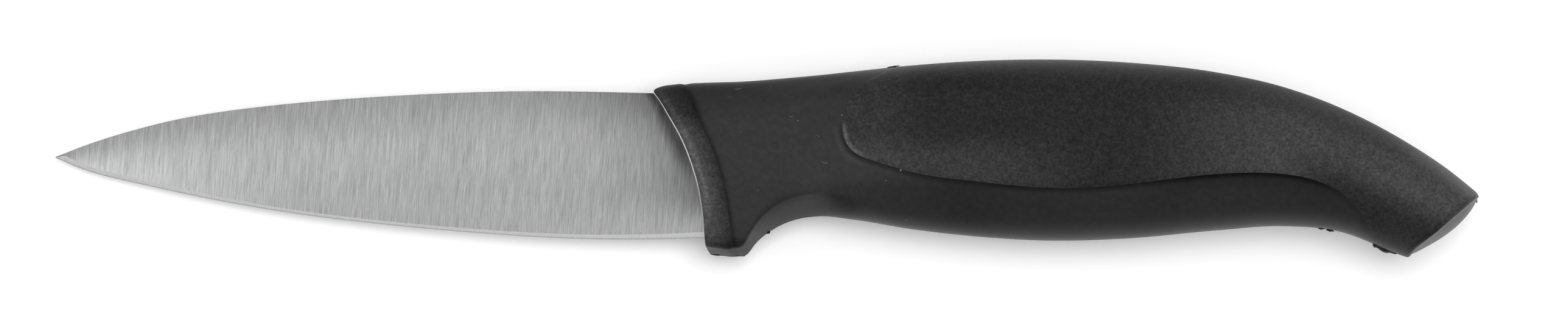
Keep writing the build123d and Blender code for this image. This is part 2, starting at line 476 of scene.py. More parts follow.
    def laid_out_turns(self) -> Array:
        """Turn of each polar angle, for the table's places.

        The turn is the half section's length up to the angle, as a share of the whole times pi. The
        angle of each even turn is kept too.

        Returns:
            The turns, one row for each place.
        """
        angles = np.linspace(0.0, pi, self.table_angles)
        x, angle = np.meshgrid(self.table_x, angles, indexing="ij")
        steps = np.linalg.norm(np.diff(self.polar_points(x, angle), axis=1), axis=2)
        lengths = np.concatenate([np.zeros((len(steps), 1)), np.cumsum(steps, axis=1)], axis=1)
        turns = pi * lengths / lengths[:, -1:]
        self.angles_of = np.stack([np.interp(angles, row, angles) for row in turns])
        return turns

    def looked_up(self, table: Array, x: Array, value: Array) -> Array:
        """A table's entry between its four nearest rows and columns, mixed in proportion.

        Args:
            table: The table, with a row for each place and columns from 0 to pi.
            x: Places.
            value: Values from 0 to pi.

        Returns:
            The entries.
        """
        row = np.clip((x - self.table_x[0]) / self.table_step, 0.0, table.shape[0] - 1)
        column = np.clip(value / pi, 0.0, 1.0) * (table.shape[1] - 1)
        low_row = np.minimum(row.astype(int), table.shape[0] - 2)
        low_column = np.minimum(column.astype(int), table.shape[1] - 2)
        u, v = row - low_row, column - low_column
        first = table[low_row, low_column] * (1 - v) + table[low_row, low_column + 1] * v
        second = table[low_row + 1, low_column] * (1 - v) + table[low_row + 1, low_column + 1] * v
        return first * (1 - u) + second * u

    def points(self, x: Array, turn: Array) -> Array:
        """Points of the surface, with z counted from the knife's middle plane.

        Args:
            x: Places.
            turn: Turns, even along the half section's length. Past 0 and pi they go on round.

        Returns:
            The points on one more axis.
        """
        x, turn = np.broadcast_arrays(np.asarray(x, float), np.asarray(turn, float))
        folded = np.where(turn > pi, 2 * pi - turn, np.abs(turn))
        angle = self.looked_up(self.angles_of, x, folded)
        angle = np.where(turn > pi, 2 * pi - angle, np.where(turn < 0, -angle, angle))
        return self.polar_points(x, angle)

    def normals(self, x: Array, turn: Array) -> Array:
        """Outward unit normals: the cross product of the differences round and along the handle.

        Args:
            x: Places.
            turn: Turns.

        Returns:
            The normals on one more axis.
        """
        step_x, step_turn, nudge = 0.01, 0.0015, 1e-7
        x, turn = np.broadcast_arrays(np.asarray(x, float), np.asarray(turn, float))
        along = self.points(x + step_x, turn) - self.points(x - step_x, turn)
        round_it = self.points(x, turn + step_turn) - self.points(x, turn - step_turn)
        round_it[..., 2] += nudge * np.cos(turn)
        normal = np.cross(round_it, along)
        return normal / np.linalg.norm(normal, axis=-1, keepdims=True)

    def turn_at(self, x: Array, y: Array) -> Array:
        """The turn of the surface point at a place and height, from the angle of (y - level, width).

        Args:
            x: Places.
            y: Heights.

        Returns:
            The turns on the upper side of the knife.
        """
        top, bottom, side = self.outline(x)
        held = np.clip(y, bottom, top)
        width = self.half_width(held, (top, bottom, side), self.power(x))
        return self.looked_up(self.even_turns, x, np.arctan2(width, held - (top + bottom) / 2))

    def butt_share(self, y: Array) -> Array:
        """A height as a share of the butt's end face, from its bottom."""
        bottom, top = self.butt_bottom[1] * self.depth, self.butt_top[1] * self.depth
        return (y - bottom) / (top - bottom)

    def butt_x(self, y: Array) -> Array:
        """Place of the butt's end face on the middle plane: a chord plus a dome of 4s(1 - s).

        Args:
            y: Heights.

        Returns:
            The places, none beyond the face's top corner.
        """
        low, high = (corner[0] * self.length + self.collar_x for corner in (self.butt_bottom, self.butt_top))
        share = self.butt_share(y)
        dome = self.butt_dome * np.clip(4 * share * (1 - share), -1.0, 1.0)
        return np.minimum(low + share * (high - low) + dome, high)

    def crest_x(self, y: Array) -> Array:
        """Place of the rim round the butt's end face: set back most at half its height, none at its ends.

        The setback goes as 1 - |2s - 1|^n of the share s, with one power n below the middle and one above.

        Args:
            y: Heights.

        Returns:
            The places.
        """
        share = np.clip(self.butt_share(y), 0.0, 1.0)
        profile = 1 - np.abs(2 * share - 1) ** np.where(share < 0.5, *self.crest_powers)
        return self.butt_x(y) - self.crest_setback * profile

    def crease_y(self, x: Array) -> Array:
        """Height of the crease over the steep underside: the section's bottom plus the wall's drop."""
        return self.outline(x)[1] + self.wall_at(x)[..., 0] * self.depth

    def front_x(self, y: Array) -> Array:
        """Place of the collar's front face at a height."""
        return np.interp(y, self.front_line[::-1, 1], self.front_line[::-1, 0])

    def seam_x(self, y: Array) -> Array:
        """Place of the seam between collar and soft grip at a height."""
        return np.interp(y, self.seam_line[::-1, 1], self.seam_line[::-1, 0])

    def where_met(self, line: Line, turn: Array, low: float, high: float) -> Array:
        """The place where the surface at each turn meets a line given as place over height.

        The span is halved again and again, keeping the half in which place minus line changes sign.

        Args:
            line: Function from height to place.
            turn: Turns.
            low: Start of the span.
            high: End of the span.

        Returns:
            The places.
        """
        low_x, high_x = np.full_like(turn, low), np.full_like(turn, high)
        for _ in range(HALVINGS):
            middle = (low_x + high_x) / 2
            before = middle < line(self.points(middle, turn)[..., 1])
            low_x, high_x = np.where(before, middle, low_x), np.where(before, high_x, middle)
        return (low_x + high_x) / 2

    def leaf_turns(self, x: Array) -> tuple[Array, Array]:
        """Turns of the leaf seam's two branches behind the leaf's nose.

        Args:
            x: Places.

        Returns:
            The upper branch's turns, 0 past its crossing, and the lower one's, pi past its end.
        """
        branches = (self.upper_seam, self.lower_seam)
        upper, lower = (self.turn_at(x, np.interp(x, line[:, 0], line[:, 1])) for line in branches)
        upper = np.where(x >= self.cross_x - SLACK, 0.0, upper)
        lower = np.where(x >= self.end_x - SLACK, pi, lower)
        return upper, lower


@dataclass
class Band:
    """A grid of places and turns, the points of it that lie on a seam, and its groove's width."""

    x: Array
    turn: Array
    on_seam: Array
    groove: float


@dataclass
class HandleGrid:
    """Divides the handle's surface into bands that share their border points.

    The collar, the neck, the soft strips over and under the leaf, the leaf panel and the rear each
    are a grid of rows along the handle and columns round it. The columns of the collar and the neck
    are those of the two soft strips, and the rear has the leaf's.
    """

    form: HandleForm
    fine: float = 0.035
    coarse: float = 0.42
    growth: float = 1.32
    # Lengths that the bands' rows and columns are laid out for, and the largest steps of the two ends
    over_span: float = 13.0
    under_span: float = 15.0
    leaf_span: float = 27.0
    collar_span: float = 2.4
    neck_span: float = 9.0
    rear_span: float = 10.0
    collar_step: float = 0.25
    rear_step: float = 0.35
    # Places between which the collar's front and seam are sought, and the last place of the handle
    front_limits: Pair = (-18.0, 0.0)
    seam_limits: Pair = (-18.0, 2.0)
    last_x: float = 99.0
    split_x: float = 3.7
    between_seams: float = 1.0
    collar_depth: float = 0.10
    leaf_depth: float = 0.18
    faint_depth: float = 0.02
    collar_groove: float = 0.9
    leaf_groove: float = 0.58
    soft_groove: float = 1.1
    parting_height: float = 0.035
    parting_width: float = 0.16
    parting_start: float = 0.5
    rim_front: float = 0.22
    rim_butt: float = 0.45
    rim_steps: int = 6
    face_rows: int = 17
    seam_samples: int = 1500
    seam_step: float = 0.06
    # Least and greatest distance to a seam that counts, and points compared at a time
    nearest: float = 0.004
    farthest: float = 3.0
    chunk: int = 3000
    # Painted shade on the flank towards the spine, its neck's rim, its rear and the rear's rim, and
    # painted light on its lighter middle
    upper_flank: tuple[Shade, ...] = (
        Shade(0.18, (UPPER,)),
        Shade(0.58, (UPPER, ("x", 22.0, 8.0), ("share", 0.82, 0.98))),
        Shade(0.30, (UPPER, ("x", 50.0, 62.0), ("x", 94.0, 86.0))),
        Shade(0.22, (UPPER, ("x", 52.0, 64.0), ("share", 0.84, 0.98))),
        Shade(-0.18, (UPPER,), (("x", 45.0, 10.0),)),
    )
    # Painted shade on the flank towards the belly, and more on its front half
    lower_flank: tuple[Shade, ...] = (Shade(0.20, (LOWER,)), Shade(0.05, (LOWER, ("x", 60.0, 50.0))))
    # Painted shade: the dark band just above the guard's foot, and the foot itself
    foot: tuple[Shade, ...] = (
        Shade(0.46, (GUARD,), (("y", -11.8, 0.80),)),
        Shade(0.56, (GUARD, ("y", -12.0, -12.8))),
    )
    # Place and slope of the line under which the rear's flank turns down to the belly
    fall_x: float = 80.5
    fall_slope: float = 0.46

    def __post_init__(self) -> None:
        """Lays out the bands.

        Whole rows and columns that lie on a seam are marked, so that their groove has its full depth.
        """
        form = self.form
        spans = (self.over_span, self.under_span, self.leaf_span)
        self.over, self.under, self.leaf = (self.steps(span, self.coarse, Fine.BOTH) for span in spans)
        nose_turn = float(form.leaf_turns(np.array(form.nose_x))[0])
        before = self.between(self.split_x, form.nose_x, Fine.END)
        first = self.between(form.nose_x, form.cross_x, Fine.BOTH)
        second = self.between(form.cross_x, form.end_x, Fine.BOTH)
        along = np.concatenate([before, first[1:]])
        full = np.concatenate([along, second[1:]])
        upper, lower = form.leaf_turns(full)
        lead = full <= form.nose_x
        upper[lead] = lower[lead] = nose_turn
        whole = np.concatenate([nose_turn * self.over, nose_turn + (pi - nose_turn) * self.under[1:]])
        self.whole_turns = whole
        front = form.where_met(form.front_x, whole, *self.front_limits)
        seam = form.where_met(form.seam_x, whole, *self.seam_limits)
        butt = form.where_met(form.crest_x, pi * self.leaf, form.end_x, self.last_x)
        collar = self.steps(self.collar_span, self.collar_step, Fine.END)[:, None]
        neck = self.steps(self.neck_span, self.coarse, Fine.START)[:, None]
        rear = self.steps(self.rear_span, self.rear_step, Fine.START)[:, None]
        start, end = front + self.rim_front, butt - self.rim_butt
        over_turn = upper[: len(along), None] * self.over
        under_turn = lower[:, None] + (pi - lower[:, None]) * self.under
        behind = full >= form.nose_x - SLACK
        leaf_x, leaf_start, leaf_end = (values[behind, None] for values in (full, upper, lower))
        leaf_turn = leaf_start + (leaf_end - leaf_start) * self.leaf
        self.bands = {
            "collar": self.band(start + (seam - start) * collar, whole, self.collar_groove, -1),
            "neck": self.band(seam + (self.split_x - seam) * neck, whole, self.soft_groove, 0),
            "over": self.band(along[:, None], over_turn, self.soft_groove, -1),
            "under": self.band(full[:, None], under_turn, self.soft_groove, -1),
            "leaf": self.band(leaf_x, leaf_turn, self.leaf_groove, 0),
            "rear": self.band(form.end_x + (end - form.end_x) * rear, pi * self.leaf, self.leaf_groove),
        }
        self.bands["over"].on_seam[along >= form.nose_x - SLACK, -1] = True
        self.bands["under"].on_seam[behind, 0] = True
        self.bands["leaf"].on_seam[leaf_x[:, 0] <= form.cross_x + SLACK, 0] = True
        self.bands["leaf"].on_seam[:, -1] = True
        self.bands["rear"].on_seam[0, -1] = True
        self.seam_points = self.sampled_seams()

    def steps(self, span: float, coarse: float, ends: Fine) -> Array:
        """Stations of a span with the grid's fine step at the chosen ends."""
        return stations(span, self.fine, coarse, self.growth, ends)

    @staticmethod
    def band(x: Array, turn: Array, groove: float, seam_row: int | None = None) -> Band:
        """A band on the grid of its places and turns.

        Args:
            x: Places, one for each row or point.
            turn: Turns, one for each column or point.
            groove: Width of the seam's groove on this side.
            seam_row: The row that lies on a seam.

        Returns:
            The band.
        """
        x, turn = np.broadcast_arrays(x, turn)
        on_seam = np.zeros(x.shape, bool)
        if seam_row is not None:
            on_seam[seam_row] = True
        return Band(x, turn, on_seam, groove)

    def between(self, start: float, end: float, ends: Fine) -> Array:
        """Places from start to end with steps of half the fine one at the chosen ends."""
        return start + (end - start) * stations(end - start, self.fine / 2, self.coarse, self.growth, ends)

    def sampled_seams(self) -> list[Array]:
        """Samples of both seams on the surface.

        Returns:
            Even points of the collar seam and of the leaf seam.
        """
        form = self.form
        turn = np.linspace(0.0, pi, self.seam_samples)
        collar = form.points(form.where_met(form.seam_x, turn, *self.seam_limits), turn)
        upper = form.upper_seam[form.upper_seam[:, 0] < form.cross_x][::-1]
        lower = form.lower_seam[form.lower_seam[:, 0] < form.end_x]
        side = np.concatenate([upper, lower[1:]])
        x = np.concatenate([[form.cross_x], side[:, 0], [form.end_x]])
        turns = np.concatenate([[0.0], form.turn_at(side[:, 0], side[:, 1]), [pi]])
        return [self.even(collar), self.even(form.points(x, turns))]

    def even(self, line: Array) -> Array:
        """The same line with points at even steps of its length.

        Args:
            line: Its points.

        Returns:
            The even points.
        """
        lengths = np.concatenate([[0.0], np.cumsum(np.linalg.norm(np.diff(line, axis=0), axis=1))])
        places = np.linspace(0.0, lengths[-1], int(lengths[-1] / self.seam_step))
        return np.stack([np.interp(places, lengths, line[:, axis]) for axis in range(3)], axis=1)

    def seam_distance(self, points: Array) -> Array:
        """Distance from each point to the nearest seam, held at the farthest.

        The nearest sample is found first. The distance is then that to the two pieces of line beside
        it: the length from the point to its foot on a piece.

        Args:
            points: Surface points of any grid shape.

        Returns:
            The distances on that grid.
        """
        flat = points.reshape(-1, 3)
        best = np.full(len(flat), self.farthest)
        for line in self.seam_points:
            inside = (flat > line.min(0) - self.farthest) & (flat < line.max(0) + self.farthest)
            near = np.flatnonzero(np.all(inside, axis=1))
            for part in np.array_split(near, max(len(near) // self.chunk, 1)):
                gaps = ((flat[part, None, :] - line[None, :, :]) ** 2).sum(-1)
                nearest = np.clip(gaps.argmin(1), 1, len(line) - 2)
                for low in (nearest - 1, nearest):
                    start, run = line[low], line[low + 1] - line[low]
                    share = np.clip(((flat[part] - start) * run).sum(1) / (run**2).sum(1), 0, 1)
                    foot = start + share[:, None] * run
                    best[part] = np.minimum(best[part], np.linalg.norm(flat[part] - foot, axis=1))
        return best.reshape(points.shape[:-1])

    def measures(self, points: Array) -> dict[str, Array]:
        """What the handle's painted light and shade go by.

        Beside the coordinates, they are the height's share of the section's half depth, the distance
        to the nearest seam, the height over the notch's crease, the distances behind the collar's
        front and past the butt's rim, and how far a point lies under the falling line.

        Args:
            points: Points about the middle plane.

        Returns:
            The measures by name.
        """
        form, named = self.form, coordinates(points)
        x, y = named["x"], named["y"]
        top, bottom, _ = form.outline(np.clip(x, form.collar_x, form.collar_x + form.length))
        named["share"] = (2 * y - top - bottom) / (top - bottom)
        named["seam"] = self.seam_distance(points)
        named["over_crease"] = y - form.crease_y(x)
        named["behind_front"] = x - form.front_x(y)
        named["past_crest"] = x - form.crest_x(y)
        named["under_fall"] = -self.fall_slope * (x - self.fall_x) - y
        return named

    def flanks(self, measures: dict[str, Array]) -> Array:
        """What the painted shade on the flanks towards the spine and the belly leaves of the tone."""
        return (1 - total(self.upper_flank, measures)) * (1 - total(self.lower_flank, measures))

    def seam_depth(self, points: Array) -> Array:
        """Depth of the nearest seam's groove, which is faint on the leaf's upper branch and at its end.

        Args:
            points: Surface points.

        Returns:
            The depths.
        """
        low_branch = Shade(self.leaf_depth - self.faint_depth, LOW_BRANCH)
        leaf = self.faint_depth + low_branch.at(coordinates(points))
        return np.where(points[..., 0] < self.between_seams, self.collar_depth, leaf)

    def parting(self, points: Array) -> Array:
        """How far the parting line stands proud: its height times exp(-(z/width) squared)."""
        return self.parting_height * np.exp(-((points[..., 2] / self.parting_width) ** 2))

    @staticmethod
    def closed(points: Array, turn: Array) -> Array:
        """The points, with those at the spine's and the belly's turn put on the middle plane."""
        points[..., 2] = np.where((turn < SLACK) | (turn > pi - SLACK), 0.0, points[..., 2])
        return points

    def outer(self, band: Band) -> tuple[Array, Array]:
        """The band's outer points, sunk into the seam groove and raised along the parting line.

        The groove sinks by its depth at the seam and rises smoothly to nothing at its width.

        Args:
            band: The band.

        Returns:
            The points and their distance to the seam.
        """
        base = self.form.points(band.x, band.turn)
        normal = self.form.normals(band.x, band.turn)
        distance = np.where(band.on_seam, 0.0, np.maximum(self.seam_distance(base), self.nearest))
        sunk = self.seam_depth(base) * (1 - rise(distance, 0.0, band.groove))
        proud = self.parting(base) * np.clip(distance / self.parting_start, 0, 1)
        return self.closed(base + normal * (proud - sunk)[..., None], band.turn), distance

    def inner(self, band: Band, thickness: float) -> Array:
        """The soft skin's inside: the outer points drawn towards the section's centre.

        The draw grows from nothing at the seam to the skin's thickness 1 mm away from it, as one
        minus (1 - d) squared.

        Args:
            band: A soft band.
            thickness: The skin's thickness.

        Returns:
            The points.
        """
        points, distance = self.outer(band)
        top, bottom, _ = self.form.outline(band.x)
        offset = points[..., 1:] - np.stack([(top + bottom) / 2, np.zeros_like(top)], axis=-1)
        length = np.linalg.norm(offset, axis=-1)
        draw = thickness * (1 - (1 - np.clip(distance, 0, 1)) ** 2) / length
        points[..., 1:] -= offset * draw[..., None]
        return points

    def rim(self, line: Line, middle: Line, turn: Array, border: Array, front: bool) -> Array:
        """The rounded edge between the side and an end face, and the end face itself.

        A quarter circle of radius R: at its angle A the point is drawn in by R(1 - cos A) and lies
        R(1 - sin A) behind the rim's line. The face then closes to the section's centre. What the rim
        is set back from the middle line fades with the share of the way out, squared.

        Args:
            line: Function from height to the rim's place.
            middle: Function from height to the face's place on the middle plane.
            turn: Turns of the columns.
            border: The side's last row of points, which is the rim's first.
            front: Whether it is the collar's front instead of the butt.

        Returns:
            Rows from the side to the face's centre.
        """
        radius = self.rim_front if front else -self.rim_butt
        limits = self.front_limits if front else (self.form.end_x, self.last_x)
        angle = np.linspace(0.0, pi / 2, self.rim_steps + 1)[:, None]
        behind = radius * (1 - np.sin(angle))
        x = self.form.where_met(line, turn, *limits) + behind
        turns = np.broadcast_to(turn, x.shape)
        base = self.form.points(x, turns)
        normal = self.form.normals(x, turns)
        across = normal[..., 1:] / np.linalg.norm(normal[..., 1:], axis=-1, keepdims=True)
        points = base + normal * (self.parting(base) * np.cos(angle))[..., None]
        points[..., 1:] -= across * (abs(radius) * (1 - np.cos(angle)))[..., None]
        points[1:, :, 0] = (line(points[..., 1]) + behind)[1:]
        points += (border - points[0]) * np.cos(angle)[..., None]
        points = self.closed(points, turns)
        points[0] = border
        ring = points[-1]
        level = (ring[0, 1] + ring[-1, 1]) / 2
        shares = np.linspace(1.0, 0.0, self.face_rows + 1)[1:, None]
        y = level + shares * (ring[:, 1] - level)
        setback = (middle(ring[:, 1]) - ring[:, 0]) * shares**2
        face = np.stack([middle(y) - setback, y, shares * ring[:, 2]], axis=-1)
        return np.concatenate([points, face])


@dataclass
class Shell:
    """One closed mesh gathered from grids of points, in millimetres about the middle plane."""

    middle_z: float
    grids: list[tuple[Array, int]] = field(default_factory=list)

    def add(self, points: Array, finish: int = 0) -> None:
        """Adds a grid and its mirror image on the knife's other side."""
        self.grids.append((points, finish))
        self.grids.append((points * (1.0, 1.0, -1.0), finish))

    def close(self, row: Array) -> None:
        """Adds a flat end: the row and its points carried straight to the middle plane."""
        self.add(np.stack([row, row * (1.0, 1.0, 0.0)]))

    def build(
        self, name: str, finishes: list[bpy.types.Material], marks: dict[str, Line] | None = None
    ) -> bpy.types.Object:
        """Makes the object: every grid cell is a face, and points at one place become one.

        Args:
            name: The piece's name.
            finishes: Its materials, in the order of the grids' numbers.
            marks: Functions from the points to a number that the finishes read, by attribute name.

        Returns:
            The object, smooth shaded.
        """
        vertices, faces, slots, start = [], [], [], 0
        for points, finish in self.grids:
            rows, columns = points.shape[:2]
            index = start + np.arange(rows * columns).reshape(rows, columns)
            cells = np.stack([index[:-1, :-1], index[1:, :-1], index[1:, 1:], index[:-1, 1:]], axis=-1)
            vertices.append(points.reshape(-1, 3))
            faces.append(cells.reshape(-1, 4))
            slots.append(np.full((rows - 1) * (columns - 1), finish))
            start += rows * columns
        scaled = (np.concatenate(vertices) + (0.0, 0.0, self.middle_z)) * MM
        cells = np.concatenate(faces)
        mesh = bpy.data.meshes.new(name)
        mesh.vertices.add(len(scaled))
        mesh.vertices.foreach_set("co", scaled.astype(np.float32).ravel())
        mesh.loops.add(cells.size)
        mesh.loops.foreach_set("vertex_index", cells.astype(np.int32).ravel())
        mesh.polygons.add(len(cells))
        mesh.polygons.foreach_set("loop_start", np.arange(0, cells.size, 4, dtype=np.int32))
        mesh.polygons.foreach_set("material_index", np.concatenate(slots).astype(np.int32))
        mesh.update(calc_edges=True)
        work = bmesh.new()
        work.from_mesh(mesh)
        bmesh.ops.remove_doubles(work, verts=work.verts, dist=WELD)
        bmesh.ops.recalc_face_normals(work, faces=work.faces)
        if work.calc_volume(signed=True) < 0:
            bmesh.ops.reverse_faces(work, faces=work.faces)
        open_edges = sum(1 for edge in work.edges if not edge.is_manifold)
        work.to_mesh(mesh)
        work.free()
        mesh.polygons.foreach_set("use_smooth", np.ones(len(mesh.polygons), bool))
        for finish in finishes:
            mesh.materials.append(finish)
        final = np.empty(3 * len(mesh.vertices), np.float32)
        mesh.vertices.foreach_get("co", final)
        final = final.reshape(-1, 3).astype(float) / MM - (0.0, 0.0, self.middle_z)
        for mark, number in (marks or {}).items():
            values = mesh.attributes.new(mark, "FLOAT", "POINT")
            values.data.foreach_set("value", number(final).astype(np.float32))
        piece = bpy.data.objects.new(name, mesh)
        bpy.context.scene.collection.objects.link(piece)
        mesh.calc_loop_triangles()
        log.info("%s: %d triangles, %d open edges", name, len(mesh.loop_triangles), open_edges)
        return piece


@dataclass(frozen=True)
class Grain:
    """A noise pattern in the object's own coordinates, with its waves to a metre.

    It is drawn out along Y by a stretch under 1, and streaks along Y lean by some degrees towards X.
    """

    waves: float
    detail: float = 2.0
    roughness: float = 0.5
    stretch: float = 1.0
    lean: float = 0.0


class NodeSheet:
    """A node tree of a material or of the world, with short calls to add and join nodes."""

    def __init__(self, owner: bpy.types.ID, output: str = "ShaderNodeOutputMaterial") -> None:
        """Clears the owner's tree and gives it an output.

        Args:
            owner: The material or world.
            output: The output node's kind.
        """
        owner.use_nodes = True
        self.owner, self.tree = owner, owner.node_tree
        self.tree.nodes.clear()
        self.output = self.add(output)

    def feed(self, socket: Socket, value: Value) -> None:
        """Joins an output socket to an input socket, or sets the input's own number or colour.

        Args:
            socket: The input socket.
            value: The output socket, the number or the colour.
        """
        if isinstance(value, Socket):
            self.tree.links.new(value, socket)
        else:
            socket.default_value = value

    def add(self, kind: str, inputs: dict[str | int, Value] | None = None, **settings: str) -> bpy.types.Node:
        """Adds a node.

        Args:
            kind: The node's kind.
            inputs: Values or sockets for its inputs, by their name or place.
            settings: Its properties.

        Returns:
            The node.
        """
        node = self.tree.nodes.new(kind)
        for key, setting in settings.items():
            setattr(node, key, setting)
        for key, value in (inputs or {}).items():
            self.feed(node.inputs[key], value)
        return node

    def place(self, stretch: float = 1.0, lean: float = 0.0) -> Socket:
        """Object coordinates turned about Z and scaled along Y.

        Args:
            stretch: The scale along Y.
            lean: The turn in degrees.

        Returns:
            The coordinates.
        """
        place = self.add("ShaderNodeTexCoord").outputs["Object"]
        if lean:
            inputs = {"Vector": place, "Angle": radians(lean)}
            place = self.add("ShaderNodeVectorRotate", inputs, rotation_type="Z_AXIS").outputs["Vector"]
        scaled = self.add("ShaderNodeMapping", {"Vector": place, "Scale": (1.0, stretch, 1.0)})
        return scaled.outputs["Vector"]

    def noise(self, grain: Grain) -> Socket:
        """A noise pattern's values.

        Args:
            grain: The pattern.

        Returns:
            The values.
        """
        inputs = {"Scale": grain.waves, "Detail": grain.detail, "Roughness": grain.roughness}
        inputs["Vector"] = self.place(grain.stretch, grain.lean)
        return self.add("ShaderNodeTexNoise", inputs).outputs["Fac"]

    def mark(self, name: str) -> Socket:
        """A number stored on the piece's points."""
        return self.add("ShaderNodeAttribute", attribute_name=name).outputs["Fac"]

    def spread(self, value: Socket, span: Pair, onto: Pair) -> Socket:
        """The value carried from one span onto another and held inside it.

        Args:
            value: The value.
            span: Its lowest and highest.
            onto: What they become.

        Returns:
            The new value.
        """
        names = ("From Min", "From Max", "To Min", "To Max")
        inputs = dict(zip(names, (*span, *onto)), Value=value)
        return self.add("ShaderNodeMapRange", inputs).outputs["Result"]

    def maths(self, operation: str, first: Value, second: Value) -> Socket:
        """The outcome of an operation on two numbers."""
        return self.add("ShaderNodeMath", {0: first, 1: second}, operation=operation).outputs[0]

    def mix(self, share: Socket, first: Value, second: Value, numbers: bool = False) -> Socket:
        """What lies between two colours or two numbers.

        Args:
            share: How far it is from the first to the second.
            first: The first.
            second: The second.
            numbers: Whether they are numbers.

        Returns:
            The mixed colour or number.
        """
        node = self.add("ShaderNodeMix", {0: share}, data_type="FLOAT" if numbers else "RGBA")
        kind = "Float" if numbers else "Color"
        sockets = {socket.identifier: socket for socket in (*node.inputs, *node.outputs)}
        self.feed(sockets[f"A_{kind}"], first)
        self.feed(sockets[f"B_{kind}"], second)
        return sockets[f"Result_{kind}"]

    def greys(self, share: Socket, tones: Pair, span: Pair, tint: float = 0.0) -> Socket:
        """A grey between two, for a value that goes from one end of a span to the other."""
        low, high = (grey(tone, tint) for tone in tones)
        return self.mix(self.spread(share, span, (0.0, 1.0)), low, high)

    def dimmed(self, colour: Socket, share: Socket) -> Socket:
        """A colour times a number."""
        return self.add("ShaderNodeVectorMath", {0: colour, "Scale": share}, operation="SCALE").outputs[0]

    def bump(self, height: Socket, distance: float, strength: float = 1.0) -> Socket:
        """A bumped normal: the height times the distance in metres."""
        inputs = {"Height": height, "Distance": distance, "Strength": strength}
        return self.add("ShaderNodeBump", inputs).outputs["Normal"]

    def finished(self, inputs: dict[str, Value], kind: str = "ShaderNodeBsdfPrincipled") -> bpy.types.ID:
        """Joins a shader to the output.

        Args:
            inputs: Values or sockets for the shader's inputs.
            kind: The shader's kind.

        Returns:
            The material or world.
        """
        self.feed(self.output.inputs["Surface"], self.add(kind, inputs).outputs[0])
        return self.owner


def grey(value: float, tint: float = 0.0) -> tuple[float, float, float, float]:
    """A grey colour, a little bluer for a positive tint."""
    return (value * (1 - tint), value, value * (1 + tint), 1.0)


# Where a noise pattern's values mostly lie: nearly all of them, and the fine patterns' middle
WIDE, MIDDLE = (0.3, 0.7), (0.35, 0.65)


@dataclass(frozen=True)
class BrushedSteel:
    """Stainless steel ground across the blade: fine leaning streaks from spine to edge."""

    name: str = "brushed_steel"
    tones: Pair = (0.4891, 0.8509)
    tint: float = 0.004
    roughness: Pair = (0.31, 0.38)
    fine: Grain = Grain(6500.0, 3.0, 0.75, 0.028, 4.5)
    broad: Grain = Grain(1500.0, 2.0, 0.6, 0.06, 4.5)
    cloud: Grain = Grain(60.0)
    streak_depth: float = 0.000002
    broad_tones: Pair = (0.94, 1.06)
    # Where the broad streaks break up the painted dark reflection band, and what they leave of it
    broken_span: Pair = (0.35, 0.6)
    broken: Pair = (1.0, 0.8)
    # The painted highlight line's colour, and where the painted band and the line fade
    line_tone: float = 1.0
    band_fade: Pair = (0.60, 1.75)
    line_fade: Pair = (0.10, 0.16)

    def material(self) -> bpy.types.Material:
        """Streaks stretched across the blade, with painted light on the steel, the painted dark reflection
        band along the collar and its painted highlight line.

        Returns:
            The material.
        """
        sheet = NodeSheet(bpy.data.materials.new(self.name))
        fine, broad = sheet.noise(self.fine), sheet.noise(self.broad)
        tone = sheet.greys(fine, self.tones, WIDE, self.tint)
        tone = sheet.dimmed(tone, sheet.spread(broad, WIDE, self.broad_tones))
        # Painted reflections on the points, then the painted dark reflection band and highlight line
        tone = sheet.dimmed(tone, sheet.mark("painted_reflection"))
        share = sheet.mark("band_share")
        fade = sheet.spread(share, self.band_fade, (1.0, 0.0))
        depth = sheet.maths("MULTIPLY", fade, sheet.mark("band_depth"))
        streaked = sheet.maths("MULTIPLY", depth, sheet.spread(broad, self.broken_span, self.broken))
        tone = sheet.dimmed(tone, sheet.maths("SUBTRACT", 1.0, streaked))
        near_rim = sheet.spread(share, self.line_fade, (1.0, 0.0))
        line = sheet.maths("MULTIPLY", near_rim, sheet.mark("line_strength"))
        tone = sheet.mix(line, tone, grey(self.line_tone))
        rough = sheet.spread(sheet.noise(self.cloud), WIDE, self.roughness)
        normal = sheet.bump(fine, self.streak_depth)
        return sheet.finished({"Base Color": tone, "Metallic": 1.0, "Roughness": rough, "Normal": normal})


@dataclass(frozen=True)
class HonedSteel:
    """The cutting edge's narrow bevel: brighter, with short scratches along it."""

    name: str = "honed_steel"
    tones: Pair = (0.817, 0.95)
    roughness: float = 0.34
    scratch: Grain = Grain(6500.0, 3.0, 0.75, 0.25)
    scratch_depth: float = 0.000004

    def material(self) -> bpy.types.Material:
        """A scratch pattern slanted along the edge drives colour and bump, and painted shade darkens the
        very edge.

        Returns:
            The material.
        """
        sheet = NodeSheet(bpy.data.materials.new(self.name))
        scratch = sheet.noise(self.scratch)
        tone = sheet.dimmed(sheet.greys(scratch, self.tones, MIDDLE), sheet.mark("painted_edge_shade"))
        inputs = {"Base Color": tone, "Metallic": 1.0, "Roughness": self.roughness}
        inputs["Normal"] = sheet.bump(scratch, self.scratch_depth)
        return sheet.finished(inputs)


